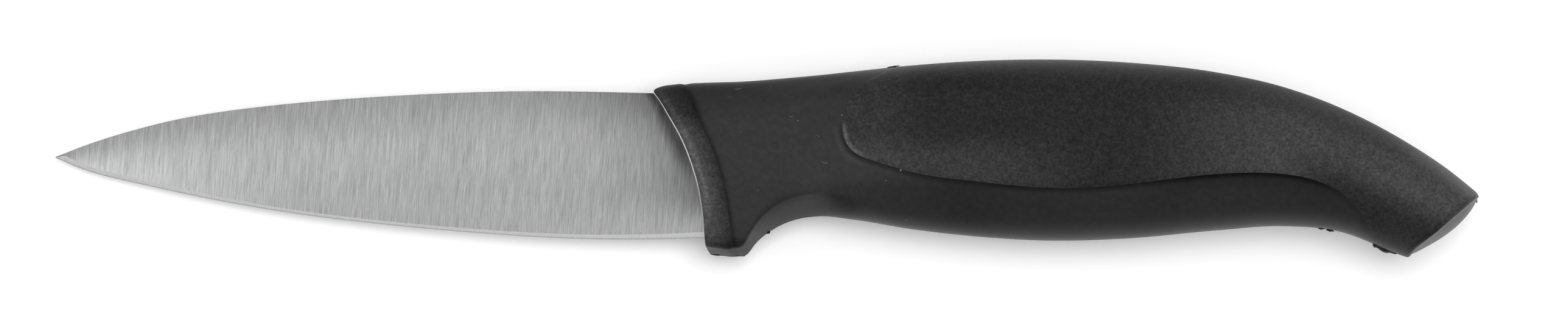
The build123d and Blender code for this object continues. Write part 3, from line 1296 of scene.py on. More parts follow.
@dataclass(frozen=True)
class GrainedPlastic:
    """Hard black plastic with the fine grain of a spark-eroded mould."""

    name: str = "grained_plastic"
    tones: Pair = (0.007425, 0.02052)
    mottling: Pair = (0.76, 1.27)
    roughness: Pair = (0.49, 0.55)
    gloss: float = 0.34
    # A grain's size in metres, and the mottling's waves to a grain
    grain_size: float = 0.00038
    mottle_waves: float = 0.45
    grain: Grain = Grain(1 / grain_size, 3.0, 0.6)
    mottle: Grain = Grain(mottle_waves / grain_size, 2.0, 0.6)
    cloud: Grain = Grain(45.0)
    grain_depth: float = 0.00003
    grain_strength: float = 0.8

    def material(self) -> bpy.types.Material:
        """Two sizes of grain drive the bump and the tone, and a cloud the roughness. The painted light and
        shade on the points scales the tone and the gloss.

        Returns:
            The material.
        """
        sheet = NodeSheet(bpy.data.materials.new(self.name))
        # The grain, and the painted light and shade stored on the points
        grain, painted_light = sheet.noise(self.grain), sheet.mark("painted_light")
        tone = sheet.greys(grain, self.tones, MIDDLE)
        tone = sheet.dimmed(tone, sheet.spread(sheet.noise(self.mottle), MIDDLE, self.mottling))
        inputs = {
            "Base Color": sheet.dimmed(tone, painted_light),
            "Roughness": sheet.spread(sheet.noise(self.cloud), WIDE, self.roughness),
            "Specular IOR Level": sheet.maths("MULTIPLY", painted_light, self.gloss),
            "Normal": sheet.bump(grain, self.grain_depth, self.grain_strength),
        }
        return sheet.finished(inputs)


@dataclass(frozen=True)
class SoftSkin:
    """Smooth matte black elastomer with a little dust on it."""

    name: str = "soft_skin"
    tones: Pair = (0.008075, 0.010925)
    smear_span: Pair = (0.35, 0.70)
    smearing: Pair = (0.82, 1.40)
    roughness: float = 0.48
    gloss: float = 0.30
    dust: float = 0.12
    dust_cells: float = 210.0
    dust_size: Pair = (0.022, 0.034)
    cloud: Grain = Grain(70.0, 3.0)
    smear: Grain = Grain(1300.0, 4.0, 0.75, 0.7, -35.0)
    peel: Grain = Grain(900.0)
    peel_depth: float = 0.000008
    peel_strength: float = 0.6

    def material(self) -> bpy.types.Material:
        """A faint orange-peel bump, smears, and pale specks where a cell's centre is very near. The
        painted light and shade on the points scales the tone and the gloss.

        Returns:
            The material.
        """
        sheet = NodeSheet(bpy.data.materials.new(self.name))
        cells = sheet.add("ShaderNodeTexVoronoi", {"Scale": self.dust_cells, "Vector": sheet.place()})
        speck = sheet.spread(cells.outputs["Distance"], self.dust_size, (1.0, 0.0))
        tone = sheet.greys(sheet.noise(self.cloud), self.tones, WIDE)
        tone = sheet.dimmed(tone, sheet.spread(sheet.noise(self.smear), self.smear_span, self.smearing))
        # The painted light and shade stored on the skin's points
        painted_light = sheet.mark("painted_light")
        inputs = {
            "Base Color": sheet.mix(speck, sheet.dimmed(tone, painted_light), grey(self.dust)),
            "Roughness": self.roughness,
            "Specular IOR Level": sheet.maths("MULTIPLY", painted_light, self.gloss),
            "Normal": sheet.bump(sheet.noise(self.peel), self.peel_depth, self.peel_strength),
        }
        return sheet.finished(inputs)


@dataclass(frozen=True)
class PaleFibre:
    """The pale lint on the skin."""

    name: str = "pale_fibre"
    tones: Pair = (0.07, 0.13)
    roughness: float = 0.8
    cloud: Grain = Grain(3000.0)

    def material(self) -> bpy.types.Material:
        """A matte grey, a little mottled.

        Returns:
            The material.
        """
        sheet = NodeSheet(bpy.data.materials.new(self.name))
        tone = sheet.greys(sheet.noise(self.cloud), self.tones, WIDE)
        return sheet.finished({"Base Color": tone, "Roughness": self.roughness})


@dataclass(frozen=True)
class WhiteTable:
    """The pale table: matte white that keeps the object's shadow and shows white elsewhere."""

    name: str = "white_table"
    tone: float = 0.86
    lift: float = 0.04

    def material(self) -> bpy.types.Material:
        """A matte surface plus a little light of its own for camera, glossy and clear rays.

        Returns:
            The material.
        """
        sheet = NodeSheet(bpy.data.materials.new(self.name))
        rays = sheet.add("ShaderNodeLightPath").outputs
        seen = sheet.maths("MAXIMUM", rays["Is Camera Ray"], rays["Is Glossy Ray"])
        seen = sheet.maths("MAXIMUM", seen, rays["Is Transmission Ray"])
        matte = sheet.add("ShaderNodeBsdfDiffuse", {"Color": grey(self.tone)}).outputs[0]
        strength = sheet.maths("MULTIPLY", seen, self.lift)
        glow = sheet.add("ShaderNodeEmission", {"Strength": strength}).outputs[0]
        return sheet.finished({0: matte, 1: glow}, "ShaderNodeAddShader")


@dataclass
class Blade:
    """The ground blade and its hidden tang, one piece of steel."""

    form: HandleForm
    length: float = 82.8
    depth: float = 20.4
    tip_x: float = -98.0
    spine_y: float = 9.256
    stock_thickness: float = 1.5
    spine_thickness: float = 1.4
    heel_edge_thickness: float = 0.36
    tip_thickness: float = 0.44
    edge_angle: float = 16.0
    corner_radius: float = 0.13
    heel_cover: float = 2.5
    tip_blunt: float = 0.09
    blunt_reach: float = 0.5
    tang_length: float = 72.0
    tang_overlap: float = 0.6
    tang_root_depth: float = 13.0
    tang_end_depth: float = 8.0
    tang_centre: float = 1.2
    tang_end_radius: float = 2.5
    tang_edge_radius: float = 0.2
    # The rows' steps along the blade, across its face and along the tang: first, largest and growth
    row_steps: Steps = (0.03, 0.6, 1.25)
    face_steps: Steps = (0.04, 0.9, 1.6)
    tang_steps: Steps = (0.06, 1.5, 1.35)
    face_span: float = 18.0
    line_samples: int = 4001
    tip_nudge: float = 0.004
    # The most of the section's depth that the bevel takes, and the least half thickness over it
    shoulder_most: float = 0.7
    shoulder_least: float = 0.9
    # The most of the face's depth and of the half thickness that the spine's corner takes
    corner_most: Pair = (0.25, 0.6)
    corner_points: int = 6
    flat_points: int = 4
    tang_corner_points: int = 4
    bevel_shares: tuple[float, ...] = (0.0, 0.06, 0.35, 0.7, 0.93, 1.0)
    # Slope of the camera's lean, for what the collar's rim hides
    view_slope: float = 0.0655
    # Painted light on the steel: the tip's painted highlight, the spine's painted dark reflection with
    # its reach there, and how both change at the tip
    glow: float = 0.90
    glow_reach: float = 10.5
    spine_dark: Pair = (0.23, 0.42)
    spine_reach: Pair = (4.5, -2.5)
    # Painted dark reflections beside the collar and low down, and the painted dark reflection band and
    # painted highlight line at the rim
    collar_reach: float = 7.5
    collar_dark: Shade = Shade(0.62, (("y", -10.6, -4.6),))
    low_dark: Shade = Shade(0.08, (("y", 2.0, -6.0), ("x", -76.0, -62.0)))
    band_width: float = 0.95
    band_wider: Shade = Shade(0.65, (("y", 8.5, 3.0),))
    band_along: Shade = Shade(1.0, (("y", -4.0, 0.5),))
    band_dark: float = 0.58
    band_darker: float = 0.16
    line_least: float = 0.35
    line_more: Shade = Shade(0.65, (("y", -7.0, -1.0),))
    # Painted shade at the bevel's rounded very edge: its depth and its reach
    keen_dark: float = 0.42
    keen_reach: float = 0.10
    # Points of the spine and the edge, as shares of the length and of the depth downwards
    spine: Rows = (
        (-0.047, 0.535), (0.000, 0.447), (0.040, 0.381), (0.121, 0.275), (0.202, 0.193),
        (0.324, 0.115), (0.486, 0.053), (0.648, 0.016), (0.769, 0.002), (0.891, 0.005), (1.000, 0.016),
    )
    edge: Rows = (
        (-0.045, 0.350), (0.000, 0.447), (0.045, 0.526), (0.126, 0.613), (0.247, 0.718),
        (0.368, 0.806), (0.490, 0.873), (0.611, 0.924), (0.733, 0.965), (0.854, 0.993), (0.976, 1.000),
        (1.084, 0.990), (1.200, 0.970),
    )

    def line(self, shares: Rows) -> Array:
        """Samples of the spine or the edge, in order of place."""
        points = np.array(shares) * (self.length, -self.depth) + (self.tip_x, self.spine_y)
        return SmoothLine(points).sampled(self.line_samples)

    def collar_gap(self, points: Array) -> Array:
        """How far each point lies in front of where the collar's rim hides the blade from above.

        The rim stands higher than the blade, so from above it hides the blade up to its height over
        it times the slope of the camera's lean.

        Args:
            points: Points about the middle plane.

        Returns:
            The gaps along X.
        """
        front = self.form.front_x(points[:, 1])
        rim = self.form.points(front, self.form.turn_at(front, points[:, 1]))[:, 2]
        hidden = np.maximum(rim - self.stock_thickness / 2, 0.0) * self.view_slope
        return front - hidden - points[:, 0]

    def band_share(self, points: Array) -> Array:
        """The gap to the collar as a share of the painted dark reflection band's width, which grows away
        from the spine.
        """
        return self.collar_gap(points) / (self.band_width + self.band_wider.at(coordinates(points)))

    def band_depth(self, points: Array) -> Array:
        """How dark the painted reflection band along the collar is: full near the spine, nothing below the
        middle.
        """
        depth = self.band_dark + self.band_darker * np.clip(self.band_share(points), 0.0, 1.0)
        return depth * self.band_along.at(coordinates(points))

    def line_strength(self, points: Array) -> Array:
        """How bright the painted highlight line along the collar is: it thins towards the edge."""
        return self.line_least + self.line_more.at(coordinates(points))

    def painted_edge_shade(self, points: Array) -> Array:
        """Painted shade on the bevel's rounded very edge, by exp(-(height over the edge/reach) squared).

        Args:
            points: Points about the middle plane.

        Returns:
            Factors on the bevel's tone.
        """
        edge = self.line(self.edge)
        height = points[:, 1] - np.interp(points[:, 0], edge[:, 0], edge[:, 1])
        return 1 - self.keen_dark * np.exp(-((height / self.keen_reach) ** 2))

    def painted_reflection(self, points: Array) -> Array:
        """Painted reflections on the steel: a painted highlight at the tip, and painted dark reflections
        along the spine, low down and at the collar.

        The tip's and the collar's terms fall as exp(-(distance/reach)), and the spine's as
        exp(-(distance/reach) squared), with a depth and a reach that change towards the tip.

        Args:
            points: Points about the middle plane.

        Returns:
            Factors on the steel's tone.
        """
        x, y, measures = points[:, 0], points[:, 1], coordinates(points)
        spine = self.line(self.spine)
        below = np.maximum(np.interp(x, spine[:, 0], spine[:, 1]) - y, 0.0)
        near_tip = np.exp(-np.maximum(x - self.tip_x, 0.0) / self.glow_reach)
        dark, reach = (plain + more * near_tip for plain, more in (self.spine_dark, self.spine_reach))
        top = 1 - dark * np.exp(-((below / reach) ** 2))
        near_collar = np.exp(-np.maximum(self.collar_gap(points), 0.0) / self.collar_reach)
        collar = 1 - near_collar * self.collar_dark.at(measures)
        return (1 + self.glow * near_tip) * top * collar * (1 - self.low_dark.at(measures))

    def half_thickness(self, x: Array, y: Array) -> Array:
        """Half thickness on the ground face: the plane through three known places.

        The three are the edge at the heel, the spine at the heel and the tip.

        Args:
            x: Places.
            y: Heights.

        Returns:
            The half thicknesses.
        """
        anchors = np.array([self.edge[-3], self.spine[-1], self.spine[1]])
        anchors = anchors * (self.length, -self.depth) + (self.tip_x, self.spine_y)
        halves = np.array([self.heel_edge_thickness, self.spine_thickness, self.tip_thickness]) / 2
        terms = np.linalg.solve(np.column_stack([np.ones(3), anchors]), halves)
        return terms[0] + terms[1] * x + terms[2] * y

    @property
    def root_x(self) -> float:
        """Where the ground blade ends, under the collar."""
        return self.tip_x + self.edge[-2][0] * self.length + self.heel_cover

    @staticmethod
    def rows(x: Array, y: Array, z: Array) -> Array:
        """Points on rows of one place each."""
        return np.stack([np.broadcast_to(x[:, None], y.shape), y, z], axis=-1)

    def blade_rows(self) -> tuple[Array, Array]:
        """The ground blade's sections, from the tip to under the collar.

        A half section runs from the spine's middle round its corner, a quarter circle, down the
        straight ground face to the shoulder, and along the bevel to the edge. The shoulder lies
        where the face's half thickness equals the distance to the edge times the bevel's slope.

        Returns:
            The points above the shoulder and those of the bevel.
        """
        span = self.root_x - self.tip_x
        x = self.tip_x + span * stations(span, *self.row_steps, Fine.START)
        x[0] += self.tip_nudge
        spine_line, edge_line = self.line(self.spine), self.line(self.edge)
        blunt = self.tip_blunt * np.exp(-(x - self.tip_x) / self.blunt_reach)
        top = np.interp(x, spine_line[:, 0], spine_line[:, 1]) + blunt
        bottom = np.interp(x, edge_line[:, 0], edge_line[:, 1]) - blunt
        steep = tan(radians(self.edge_angle)) / np.sqrt(1 + np.gradient(bottom, x) ** 2)
        face_at_edge = self.half_thickness(x, bottom)
        face_at_top = self.half_thickness(x, top)
        climb = (face_at_top - face_at_edge) / (top - bottom)
        shoulder = np.minimum(face_at_edge / (steep - climb), (top - bottom) * self.shoulder_most)
        shoulder_half = steep * shoulder
        top_half = np.minimum(face_at_top, steep * (top - bottom))
        top_half = np.maximum(top_half, shoulder_half * self.shoulder_least)
        of_depth, of_half = self.corner_most
        radius = np.minimum(self.corner_radius, of_depth * (top - bottom - shoulder))
        radius = np.minimum(radius, of_half * top_half)[:, None]
        angle = np.linspace(0.0, pi / 2, self.corner_points)
        corner_y = top[:, None] - radius * (1 - np.cos(angle))
        corner_z = top_half[:, None] - radius * (1 - np.sin(angle))
        flat_z = np.linspace(0.0, 1.0, self.flat_points)[None, :-1] * corner_z[:, :1]
        flat_y = np.broadcast_to(top[:, None], flat_z.shape)
        down = stations(self.face_span, *self.face_steps, Fine.BOTH)[1:]
        end_y, end_z = (bottom + shoulder)[:, None], shoulder_half[:, None]
        face_y = corner_y[:, -1:] + (end_y - corner_y[:, -1:]) * down
        face_z = corner_z[:, -1:] + (end_z - corner_z[:, -1:]) * down
        share = np.array(self.bevel_shares)
        bevel = self.rows(x, end_y + (bottom[:, None] - end_y) * share, end_z * (1 - share))
        upper_y = np.concatenate([flat_y, corner_y, face_y], axis=1)
        upper_z = np.concatenate([flat_z, corner_z, face_z], axis=1)
        return self.rows(x, upper_y, upper_z), bevel

    def tang_rows(self) -> Array:
        """The tang's half sections: a bar with rounded edges, tapered in height to a round end.

        Returns:
            Rows from the blade's root to the tang's end.
        """
        start = self.root_x - self.tang_overlap
        end = self.form.collar_x + self.tang_length
        share = stations(end - start, *self.tang_steps, Fine.END)
        x = start + (end - start) * share
        half = (self.tang_root_depth + (self.tang_end_depth - self.tang_root_depth) * share) / 2
        into = np.clip(1 - (end - x) / self.tang_end_radius, 0, 1)
        half = half - self.tang_end_radius * (1 - np.sqrt(1 - into**2))
        angle = np.linspace(0.0, pi / 2, self.tang_corner_points)
        inset = np.concatenate([[0.0], self.tang_edge_radius * (1 - np.cos(angle))])
        side = self.stock_thickness / 2 - self.tang_edge_radius * (1 - np.sin(angle))
        z = np.concatenate([[0.0], side])
        upper = self.tang_centre + half[:, None] - inset
        lower = self.tang_centre - half[:, None] + inset[::-1]
        y = np.concatenate([upper, lower], axis=1)
        return self.rows(x, y, np.broadcast_to(np.concatenate([z, z[::-1]]), y.shape))

    def build(self) -> bpy.types.Object:
        """Builds the blade, bevel and tang as one piece, each closed at its ends by flat walls.

        Returns:
            The piece.
        """
        shell = Shell(self.form.middle_z)
        upper, bevel = self.blade_rows()
        shell.add(upper)
        shell.add(bevel, 1)
        for row in (upper[0], upper[-1], bevel[0], bevel[-1]):
            shell.close(row)
        tang = self.tang_rows()
        shell.add(tang)
        for row in (tang[0], tang[-1]):
            shell.close(row)
        # Painted reflections, the painted band and highlight line, and the edge's painted shade
        numbers = (self.painted_reflection, self.band_share, self.band_depth, self.line_strength, self.painted_edge_shade)
        marks = {number.__name__: number for number in numbers}
        return shell.build("knife_blade", [BrushedSteel().material(), HonedSteel().material()], marks)


@dataclass(frozen=True)
class Flash:
    """A small lump of moulding flash on the parting line.

    An ellipsoid about a point of the middle plane. Its outline's radius swells and shrinks by two
    sines of the angle, which makes it ragged.
    """

    x: float
    y: float
    length: float
    height: float
    thickness: float
    lean: float
    ragged: float = 0.2
    # Share, count and start of the sines
    waves: Rows = ((0.6, 3.0, 1.0), (0.4, 5.0, 2.0))
    columns: int = 33
    rows: int = 7

    def points(self) -> Array:
        """Rows from the outline on the middle plane up to the lump's pole.

        Returns:
            The rows of points.
        """
        angle = np.linspace(0.0, 2 * pi, self.columns)
        climb = np.linspace(0.0, pi / 2, self.rows)[:, None]
        sines = [share * np.sin(count * angle + start) for share, count, start in self.waves]
        swell = 1 + self.ragged * sum(sines)
        swell[-1] = swell[0]
        along = self.length / 2 * swell * np.cos(angle) * np.cos(climb)
        across = self.height / 2 * swell * np.sin(angle) * np.cos(climb)
        lean = radians(self.lean)
        x = self.x + along * cos(lean) - across * sin(lean)
        y = self.y + along * sin(lean) + across * cos(lean)
        z = np.broadcast_to(self.thickness / 2 * np.sin(climb), x.shape).copy()
        z[0] = 0.0
        x[:, -1], y[:, -1] = x[:, 0], y[:, 0]
        return np.stack([x, y, z], axis=-1)


@dataclass(frozen=True)
class Lint:
    """A short pale fibre lying on the handle: a thin tube along a curled line."""

    x: float
    y: float
    length: float
    lean: float
    curl: float
    radius: float = 0.045
    # Place along the half length, squared, where the curled line crosses the straight one
    crossing: float = 0.4
    # Share of the radius by which the tube's middle stands over the handle
    lift: float = 0.5
    rings: int = 15
    sides: int = 9

    def points(self, form: HandleForm) -> Array:
        """Rings round the fibre's line, which bends by its curl times the place squared.

        Args:
            form: The handle that it lies on.

        Returns:
            One row of points for each ring, closed at both ends.
        """
        share = np.linspace(-1.0, 1.0, self.rings)[:, None]
        along, across = share * self.length / 2, self.curl * (share**2 - self.crossing)
        lean = radians(self.lean)
        x = self.x + along * cos(lean) - across * sin(lean)
        y = self.y + along * sin(lean) + across * cos(lean)
        height = form.points(x, form.turn_at(x, y))[..., 2] + self.radius * self.lift
        turn = np.linspace(0.0, 2 * pi, self.sides)[None, :]
        radius = self.radius * np.sqrt(np.clip(1 - share**4, 0.0, 1.0))
        y_ring, z_ring = y + radius * np.cos(turn), height + radius * np.sin(turn)
        y_ring[:, -1], z_ring[:, -1] = y_ring[:, 0], z_ring[:, 0]
        return np.stack([np.broadcast_to(x, y_ring.shape), y_ring, z_ring], axis=-1)


@dataclass
class HandleCore:
    """The hard plastic body: collar, leaf panels, back and butt, and the room under the skin."""

    grid: HandleGrid
    skin_thickness: float = 2.0
    nub: Flash = Flash(97.45, -5.55, 1.10, 0.55, 0.9, -62.0)
    # The collar's painted light and shade: its tone beside the seam and what it gains towards its
    # front, with the gain's start and power, the painted highlight on its rounded front edge, and the
    # painted shade on its top
    collar_tone: float = 0.66
    collar_gain: float = 1.45
    gain_start: float = 0.1
    gain_power: float = 0.7
    edge_highlight: Shade = Shade(1.15, (("y", -8.5, -5.5),), (("behind_front", 0.80, 0.42),))
    collar_top: Shade = Shade(0.42, (("y", 2.5, 6.5),))
    # The rest: its tone, and painted light on the low leaf, nose, rear and butt, a painted highlight on
    # the nose's lit edge, and lighter at the seam's top end
    rest_tone: float = 0.72
    lighter: tuple[Shade, ...] = (
        Shade(0.55, (("y", 4.0, -0.5), ("x", 48.0, 28.0))),
        Shade(0.35, (("x", 24.0, 15.0),)),
        Shade(0.95, (("x", 48.0, 74.0),)),
        Shade(0.18, (("x", 82.0, 90.0),)),
        Shade(2.4, NOSE, (("seam", 0.30, 0.24),)),
        Shade(1.2, (("y", 10.2, 11.2),), (("seam", 0.0, 0.16),)),
    )
    # Painted shade on the rear's underside and on the stretch before the butt's rim
    darker: tuple[Shade, ...] = (
        Shade(0.60, (("under_fall", 0.0, 5.0), ("x", 70.0, 80.0))),
        Shade(0.25, (), (("past_crest", -0.8, 0.4),)),
    )
    # The butt's end face: its painted light, the painted highlight on its rim, and where it starts
    face_tone: float = 1.9
    face_rim: Shade = Shade(0.9, (), (("past_crest", 0.0, 0.25),))
    face_start: Shade = Shade(1.0, (("past_crest", -0.12, 0.08),))

    def build(self) -> bpy.types.Object:
        """Builds the closed body from the hard bands, the two ends and the skin's inside.

        Returns:
            The piece.
        """
        form, grid = self.grid.form, self.grid
        shell = Shell(form.middle_z)
        collar, leaf, rear = (grid.outer(grid.bands[name])[0] for name in ("collar", "leaf", "rear"))
        for points in (collar, leaf, rear):
            shell.add(points)
        shell.add(grid.rim(form.front_x, form.front_x, grid.whole_turns, collar[0], front=True))
        shell.add(grid.rim(form.crest_x, form.butt_x, pi * grid.leaf, rear[-1], front=False))
        for name in ("neck", "over", "under"):
            shell.add(grid.inner(grid.bands[name], self.skin_thickness))
        shell.add(self.nub.points())
        # The painted light and shade, stored on the points for the plastic to read
        return shell.build("hard_body", [GrainedPlastic().material()], {"painted_light": self.painted_light})

    def painted_light(self, points: Array) -> Array:
        """Painted light and shade on the grain: a painted highlight behind the collar's front and
        painted shade beside its seam.

        The leaf has painted shade on its flat, the rear has painted light towards the butt, and the
        butt's end face has more painted light still.

        Args:
            points: Points about the middle plane.

        Returns:
            Factors on the plastic's tone and gloss.
        """
        grid, measures = self.grid, self.grid.measures(points)
        ahead = grid.form.seam_x(measures["y"]) - measures["x"]
        across = np.clip(ahead / np.maximum(ahead + measures["behind_front"], 0.1), 0.0, 1.0)
        start = self.gain_start + (1 - self.gain_start) * across
        gain = self.collar_gain * rise(start, 0.0, 1.0) ** self.gain_power
        collar = self.collar_tone + gain + self.edge_highlight.at(measures)
        collar = collar * left_by((self.collar_top,), measures) * (1 - total(grid.foot, measures))
        rest = (self.rest_tone + total(self.lighter, measures)) * left_by(self.darker, measures)
        face = self.face_tone + self.face_rim.at(measures)
        rest = rest + (face - rest) * self.face_start.at(measures)
        return np.where(measures["x"] < grid.between_seams, collar, rest) * grid.flanks(measures)


@dataclass
class SoftGrip:
    """The soft skin moulded over the core."""

    grid: HandleGrid
    skin_thickness: float = 2.0
    flashes: tuple[Flash, ...] = (
        Flash(17.7, 12.52, 1.7, 0.30, 0.5, 10.0),
        Flash(85.1, -12.18, 3.3, 1.25, 1.6, -28.0),
        Flash(84.1, -11.75, 1.3, 1.2, 1.3, -60.0),
        Flash(0.55, -10.05, 0.75, 0.60, 0.8, 40.0),
        Flash(76.4, -9.60, 0.9, 0.34, 0.6, -10.0),
        Flash(77.6, -9.85, 1.1, 0.36, 0.6, -14.0),
        Flash(-4.6, -13.34, 3.4, 0.30, 0.7, -3.0),
        Flash(-6.6, -13.22, 1.9, 0.30, 0.6, -8.0),
    )
    lint: tuple[Lint, ...] = (
        Lint(-3.2, 9.50, 0.95, 8.0, 0.12),
        Lint(4.2, 5.80, 0.80, 35.0, 0.26),
        Lint(4.5, 6.20, 0.55, 100.0, 0.10),
        Lint(-2.7, 3.75, 0.55, 75.0, 0.06),
        Lint(7.9, 3.05, 0.50, -30.0, 0.05),
        Lint(8.8, -0.60, 0.90, -5.0, 0.20),
        Lint(17.2, -3.05, 0.16, 0.0, 0.0, 0.07),
        Lint(19.8, -8.40, 0.45, 20.0, 0.04),
        Lint(-0.4, -4.30, 0.40, 60.0, 0.05),
    )
    # Painted light: the neck's tone, what it loses towards the rear, and the painted highlight halo in
    # front of the leaf's nose
    neck_tone: float = 1.42
    rear_loss: Shade = Shade(0.50, (("x", 14.0, 34.0),))
    halo: Shade = Shade(0.42, NOSE, (("seam", 0.85, 0.40),))
    # Painted shade in the valleys along the leaf's lower seam, wider over the belly, and behind the
    # collar's seam
    leaf_valley: tuple[Shade, ...] = (
        Shade(0.50, (("seam", 0.95, 0.15), *LOW_BRANCH)),
        Shade(0.26, (("seam", 3.0, 0.5), ("x", 50.0, 60.0), ("x", 82.0, 74.0))),
    )
    collar_valley: Shade = Shade(0.50, (("seam", 0.80, 0.05),))
    # Painted shade on the notch's crease, its wall, the hollow behind it and the parting line
    darker: tuple[Shade, ...] = (
        Shade(0.38, (*NOTCH, ("x", 10.0, 2.0)), (("over_crease", -0.3, 0.9),)),
        Shade(0.45, (*NOTCH, ("over_crease", 0.0, -0.5))),
        Shade(0.25, (("y", -1.5, -4.5), ("x", 6.0, 12.0), ("x", 36.0, 26.0))),
        Shade(0.60, (("y", 3.0, 1.0),), (("z", 0.0, 0.22),)),
    )

    def build(self) -> bpy.types.Object:
        """Builds the closed skin from its outside and its inside, with its flashes and its lint.

        Returns:
            The piece.
        """
        grid = self.grid
        shell = Shell(grid.form.middle_z)
        for name in ("neck", "over", "under"):
            band = grid.bands[name]
            shell.add(grid.outer(band)[0])
            shell.add(grid.inner(band, self.skin_thickness))
        for flash in self.flashes:
            shell.add(flash.points())
        for fibre in self.lint:
            shell.add(fibre.points(grid.form), 1)
        # The painted light and shade, stored on the points for the skin to read
        return shell.build("soft_skin", [SoftSkin().material(), PaleFibre().material()], {"painted_light": self.painted_light})

    def painted_light(self, points: Array) -> Array:
        """Painted light and shade on the skin: painted shade in the valleys, in the notch and on its
        parting line.

        Args:
            points: Points about the middle plane.

        Returns:
            Factors on the skin's tone and gloss.
        """
        grid, measures = self.grid, self.grid.measures(points)
        in_front = measures["x"] < grid.between_seams
        valley = np.where(in_front, self.collar_valley.at(measures), total(self.leaf_valley, measures))
        tone = self.neck_tone - self.rear_loss.at(measures) + self.halo.at(measures)
        shades = (1 - total(grid.foot, measures)) * grid.flanks(measures)
        return tone * (1 - valley) * left_by(self.darker, measures) * shades


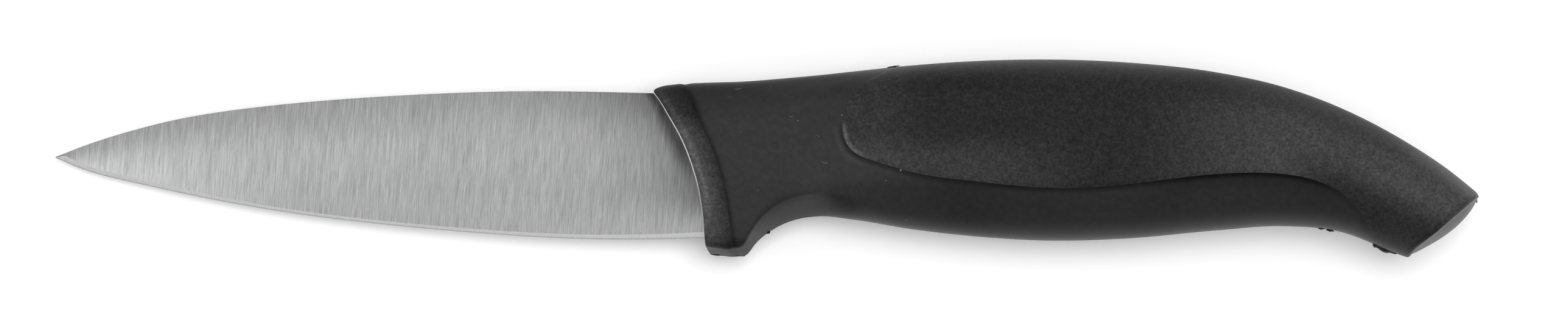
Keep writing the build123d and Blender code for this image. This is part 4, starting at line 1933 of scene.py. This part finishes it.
@dataclass
class Studio:
    """The table, camera and lights of a plain product picture.

    The knife rests on the guard and on the palm swell, so the table leans by 3 degrees against the
    CAD frame. The camera leans by a little more.
    """

    guard_rest: Pair = (-9.5, 2.45)
    swell_rest: Pair = (35.0, 0.10)
    lean: float = 0.06546
    frame_width: float = 215.4
    centre: tuple[float, float, float] = (2.72, -1.27, 9.2)
    distance: float = 1500.0
    sensor: float = 36.0
    nearest: float = 0.01
    farthest: float = 100.0
    table_size: float = 3000.0
    table_points: int = 9
    lamp_height: float = 80.0
    lamp_turn: float = 45.0
    lamp_distance: float = 1300.0
    lamp_size: float = 560.0
    lamp_power: float = 10.2
    sky_strength: float = 0.82
    top_gleam: float = 0.66
    side_gleam: float = 0.30

    @property
    def table_lean(self) -> float:
        """The table's angle against the CAD frame: from the swell's underside to the guard's."""
        return atan((self.guard_rest[1] - self.swell_rest[1]) / (self.swell_rest[0] - self.guard_rest[0]))

    @property
    def up(self) -> Vector:
        """The direction from the knife to the camera."""
        return Vector((sin(self.lean), 0.0, cos(self.lean)))

    def build_table(self) -> bpy.types.Object:
        """A flat sheet through the two places where the knife rests.

        A grid over the table's own two directions: the middle plus u times one plus v times the
        other.

        Returns:
            The table.
        """
        right = np.array([cos(self.table_lean), 0.0, -sin(self.table_lean)])
        middle = np.array([self.swell_rest[0], 0.0, self.swell_rest[1]])
        steps = np.linspace(-0.5, 0.5, self.table_points) * self.table_size
        u, v = np.meshgrid(steps, steps, indexing="ij")
        points = middle + u[..., None] * right + v[..., None] * (0.0, 1.0, 0.0)
        index = np.arange(u.size).reshape(u.shape)
        cells = np.stack([index[:-1, :-1], index[1:, :-1], index[1:, 1:], index[:-1, 1:]], axis=-1)
        mesh = bpy.data.meshes.new("table_top")
        mesh.from_pydata((points.reshape(-1, 3) * MM).tolist(), [], cells.reshape(-1, 4).tolist())
        mesh.materials.append(WhiteTable().material())
        table = bpy.data.objects.new("table_top", mesh)
        bpy.context.scene.collection.objects.link(table)
        return table

    def build_camera(self) -> bpy.types.Object:
        """A long lens above the table, whose picture is as wide as the frame width at the centre.

        Returns:
            The camera.
        """
        data = bpy.data.cameras.new("camera")
        data.sensor_width = self.sensor
        data.lens = self.sensor * self.distance / self.frame_width
        data.clip_start, data.clip_end = self.nearest, self.farthest
        camera = bpy.data.objects.new("camera", data)
        right, back = Vector((cos(self.lean), 0.0, -sin(self.lean))), self.up
        turn = Matrix((right, Vector((0.0, 1.0, 0.0)), back)).transposed().to_4x4()
        camera.matrix_world = Matrix.Translation((Vector(self.centre) + back * self.distance) * MM) @ turn
        bpy.context.scene.collection.objects.link(camera)
        bpy.context.scene.camera = camera
        return camera

    def build_lamp(self) -> bpy.types.Object:
        """One large soft lamp high over the knife, a little towards its spine and its butt.

        Returns:
            The lamp.
        """
        data = bpy.data.lights.new("soft_lamp", "AREA")
        data.shape, data.size = "SQUARE", self.lamp_size * MM
        data.energy = self.lamp_power
        lamp = bpy.data.objects.new("soft_lamp", data)
        height, turn = radians(self.lamp_height), radians(self.lamp_turn)
        away = self.up * sin(height) + Vector((sin(turn), cos(turn), 0.0)) * cos(height)
        lamp.location = away * self.lamp_distance * MM
        lamp.visible_glossy = False
        lamp.rotation_mode = "QUATERNION"
        lamp.rotation_quaternion = away.to_track_quat("Z", "Y")
        bpy.context.scene.collection.objects.link(lamp)
        return lamp

    def build_room(self) -> bpy.types.World:
        """A white room that is dimmer for diffuse rays, and for glossy ones dimmest at its sides.

        Returns:
            The world.
        """
        world = bpy.data.worlds.new("white_room")
        sheet = NodeSheet(world, "ShaderNodeOutputWorld")
        rays = sheet.add("ShaderNodeLightPath").outputs
        direction = sheet.add("ShaderNodeTexCoord").outputs["Generated"]
        height = sheet.add("ShaderNodeSeparateXYZ", {"Vector": direction}).outputs["Z"]
        gleam = sheet.spread(height, (0.0, 1.0), (self.side_gleam, self.top_gleam))
        strength = sheet.mix(rays["Is Glossy Ray"], 1.0, gleam, numbers=True)
        strength = sheet.mix(rays["Is Diffuse Ray"], strength, self.sky_strength, numbers=True)
        sheet.finished({"Strength": strength, "Color": grey(1.0)}, "ShaderNodeBackground")
        bpy.context.scene.world = world
        return world

    def build(self) -> None:
        """Sets the whole stage.

        The picture's colours are shown as they are, without a film look.
        """
        self.build_table()
        self.build_camera()
        self.build_lamp()
        self.build_room()
        bpy.context.scene.view_settings.view_transform = "Standard"


def place(piece: bpy.types.Object, node: str, slot: Slot) -> None:
    """Sets a piece on the knife in place of its CAD node.

    Args:
        piece: The finished piece.
        node: The CAD node it stands for.
        slot: The record's slot of its finish; not used.
    """
    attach(piece, "root")
    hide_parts(node)
    log.info("%s stands for %s", piece.name, node)


def main() -> None:
    """Builds the stage and the knife's three pieces, in that order.
    """
    logging.basicConfig(level=logging.INFO, format="%(name)s: %(message)s")
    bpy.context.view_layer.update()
    Studio().build()
    grid = HandleGrid(HandleForm())
    place(Blade(grid.form).build(), "blade", Slot.BLADE)
    place(HandleCore(grid).build(), "handle_core", Slot.CORE)
    place(SoftGrip(grid).build(), "soft_grip", Slot.SKIN)


if __name__ == "__main__":
    main()
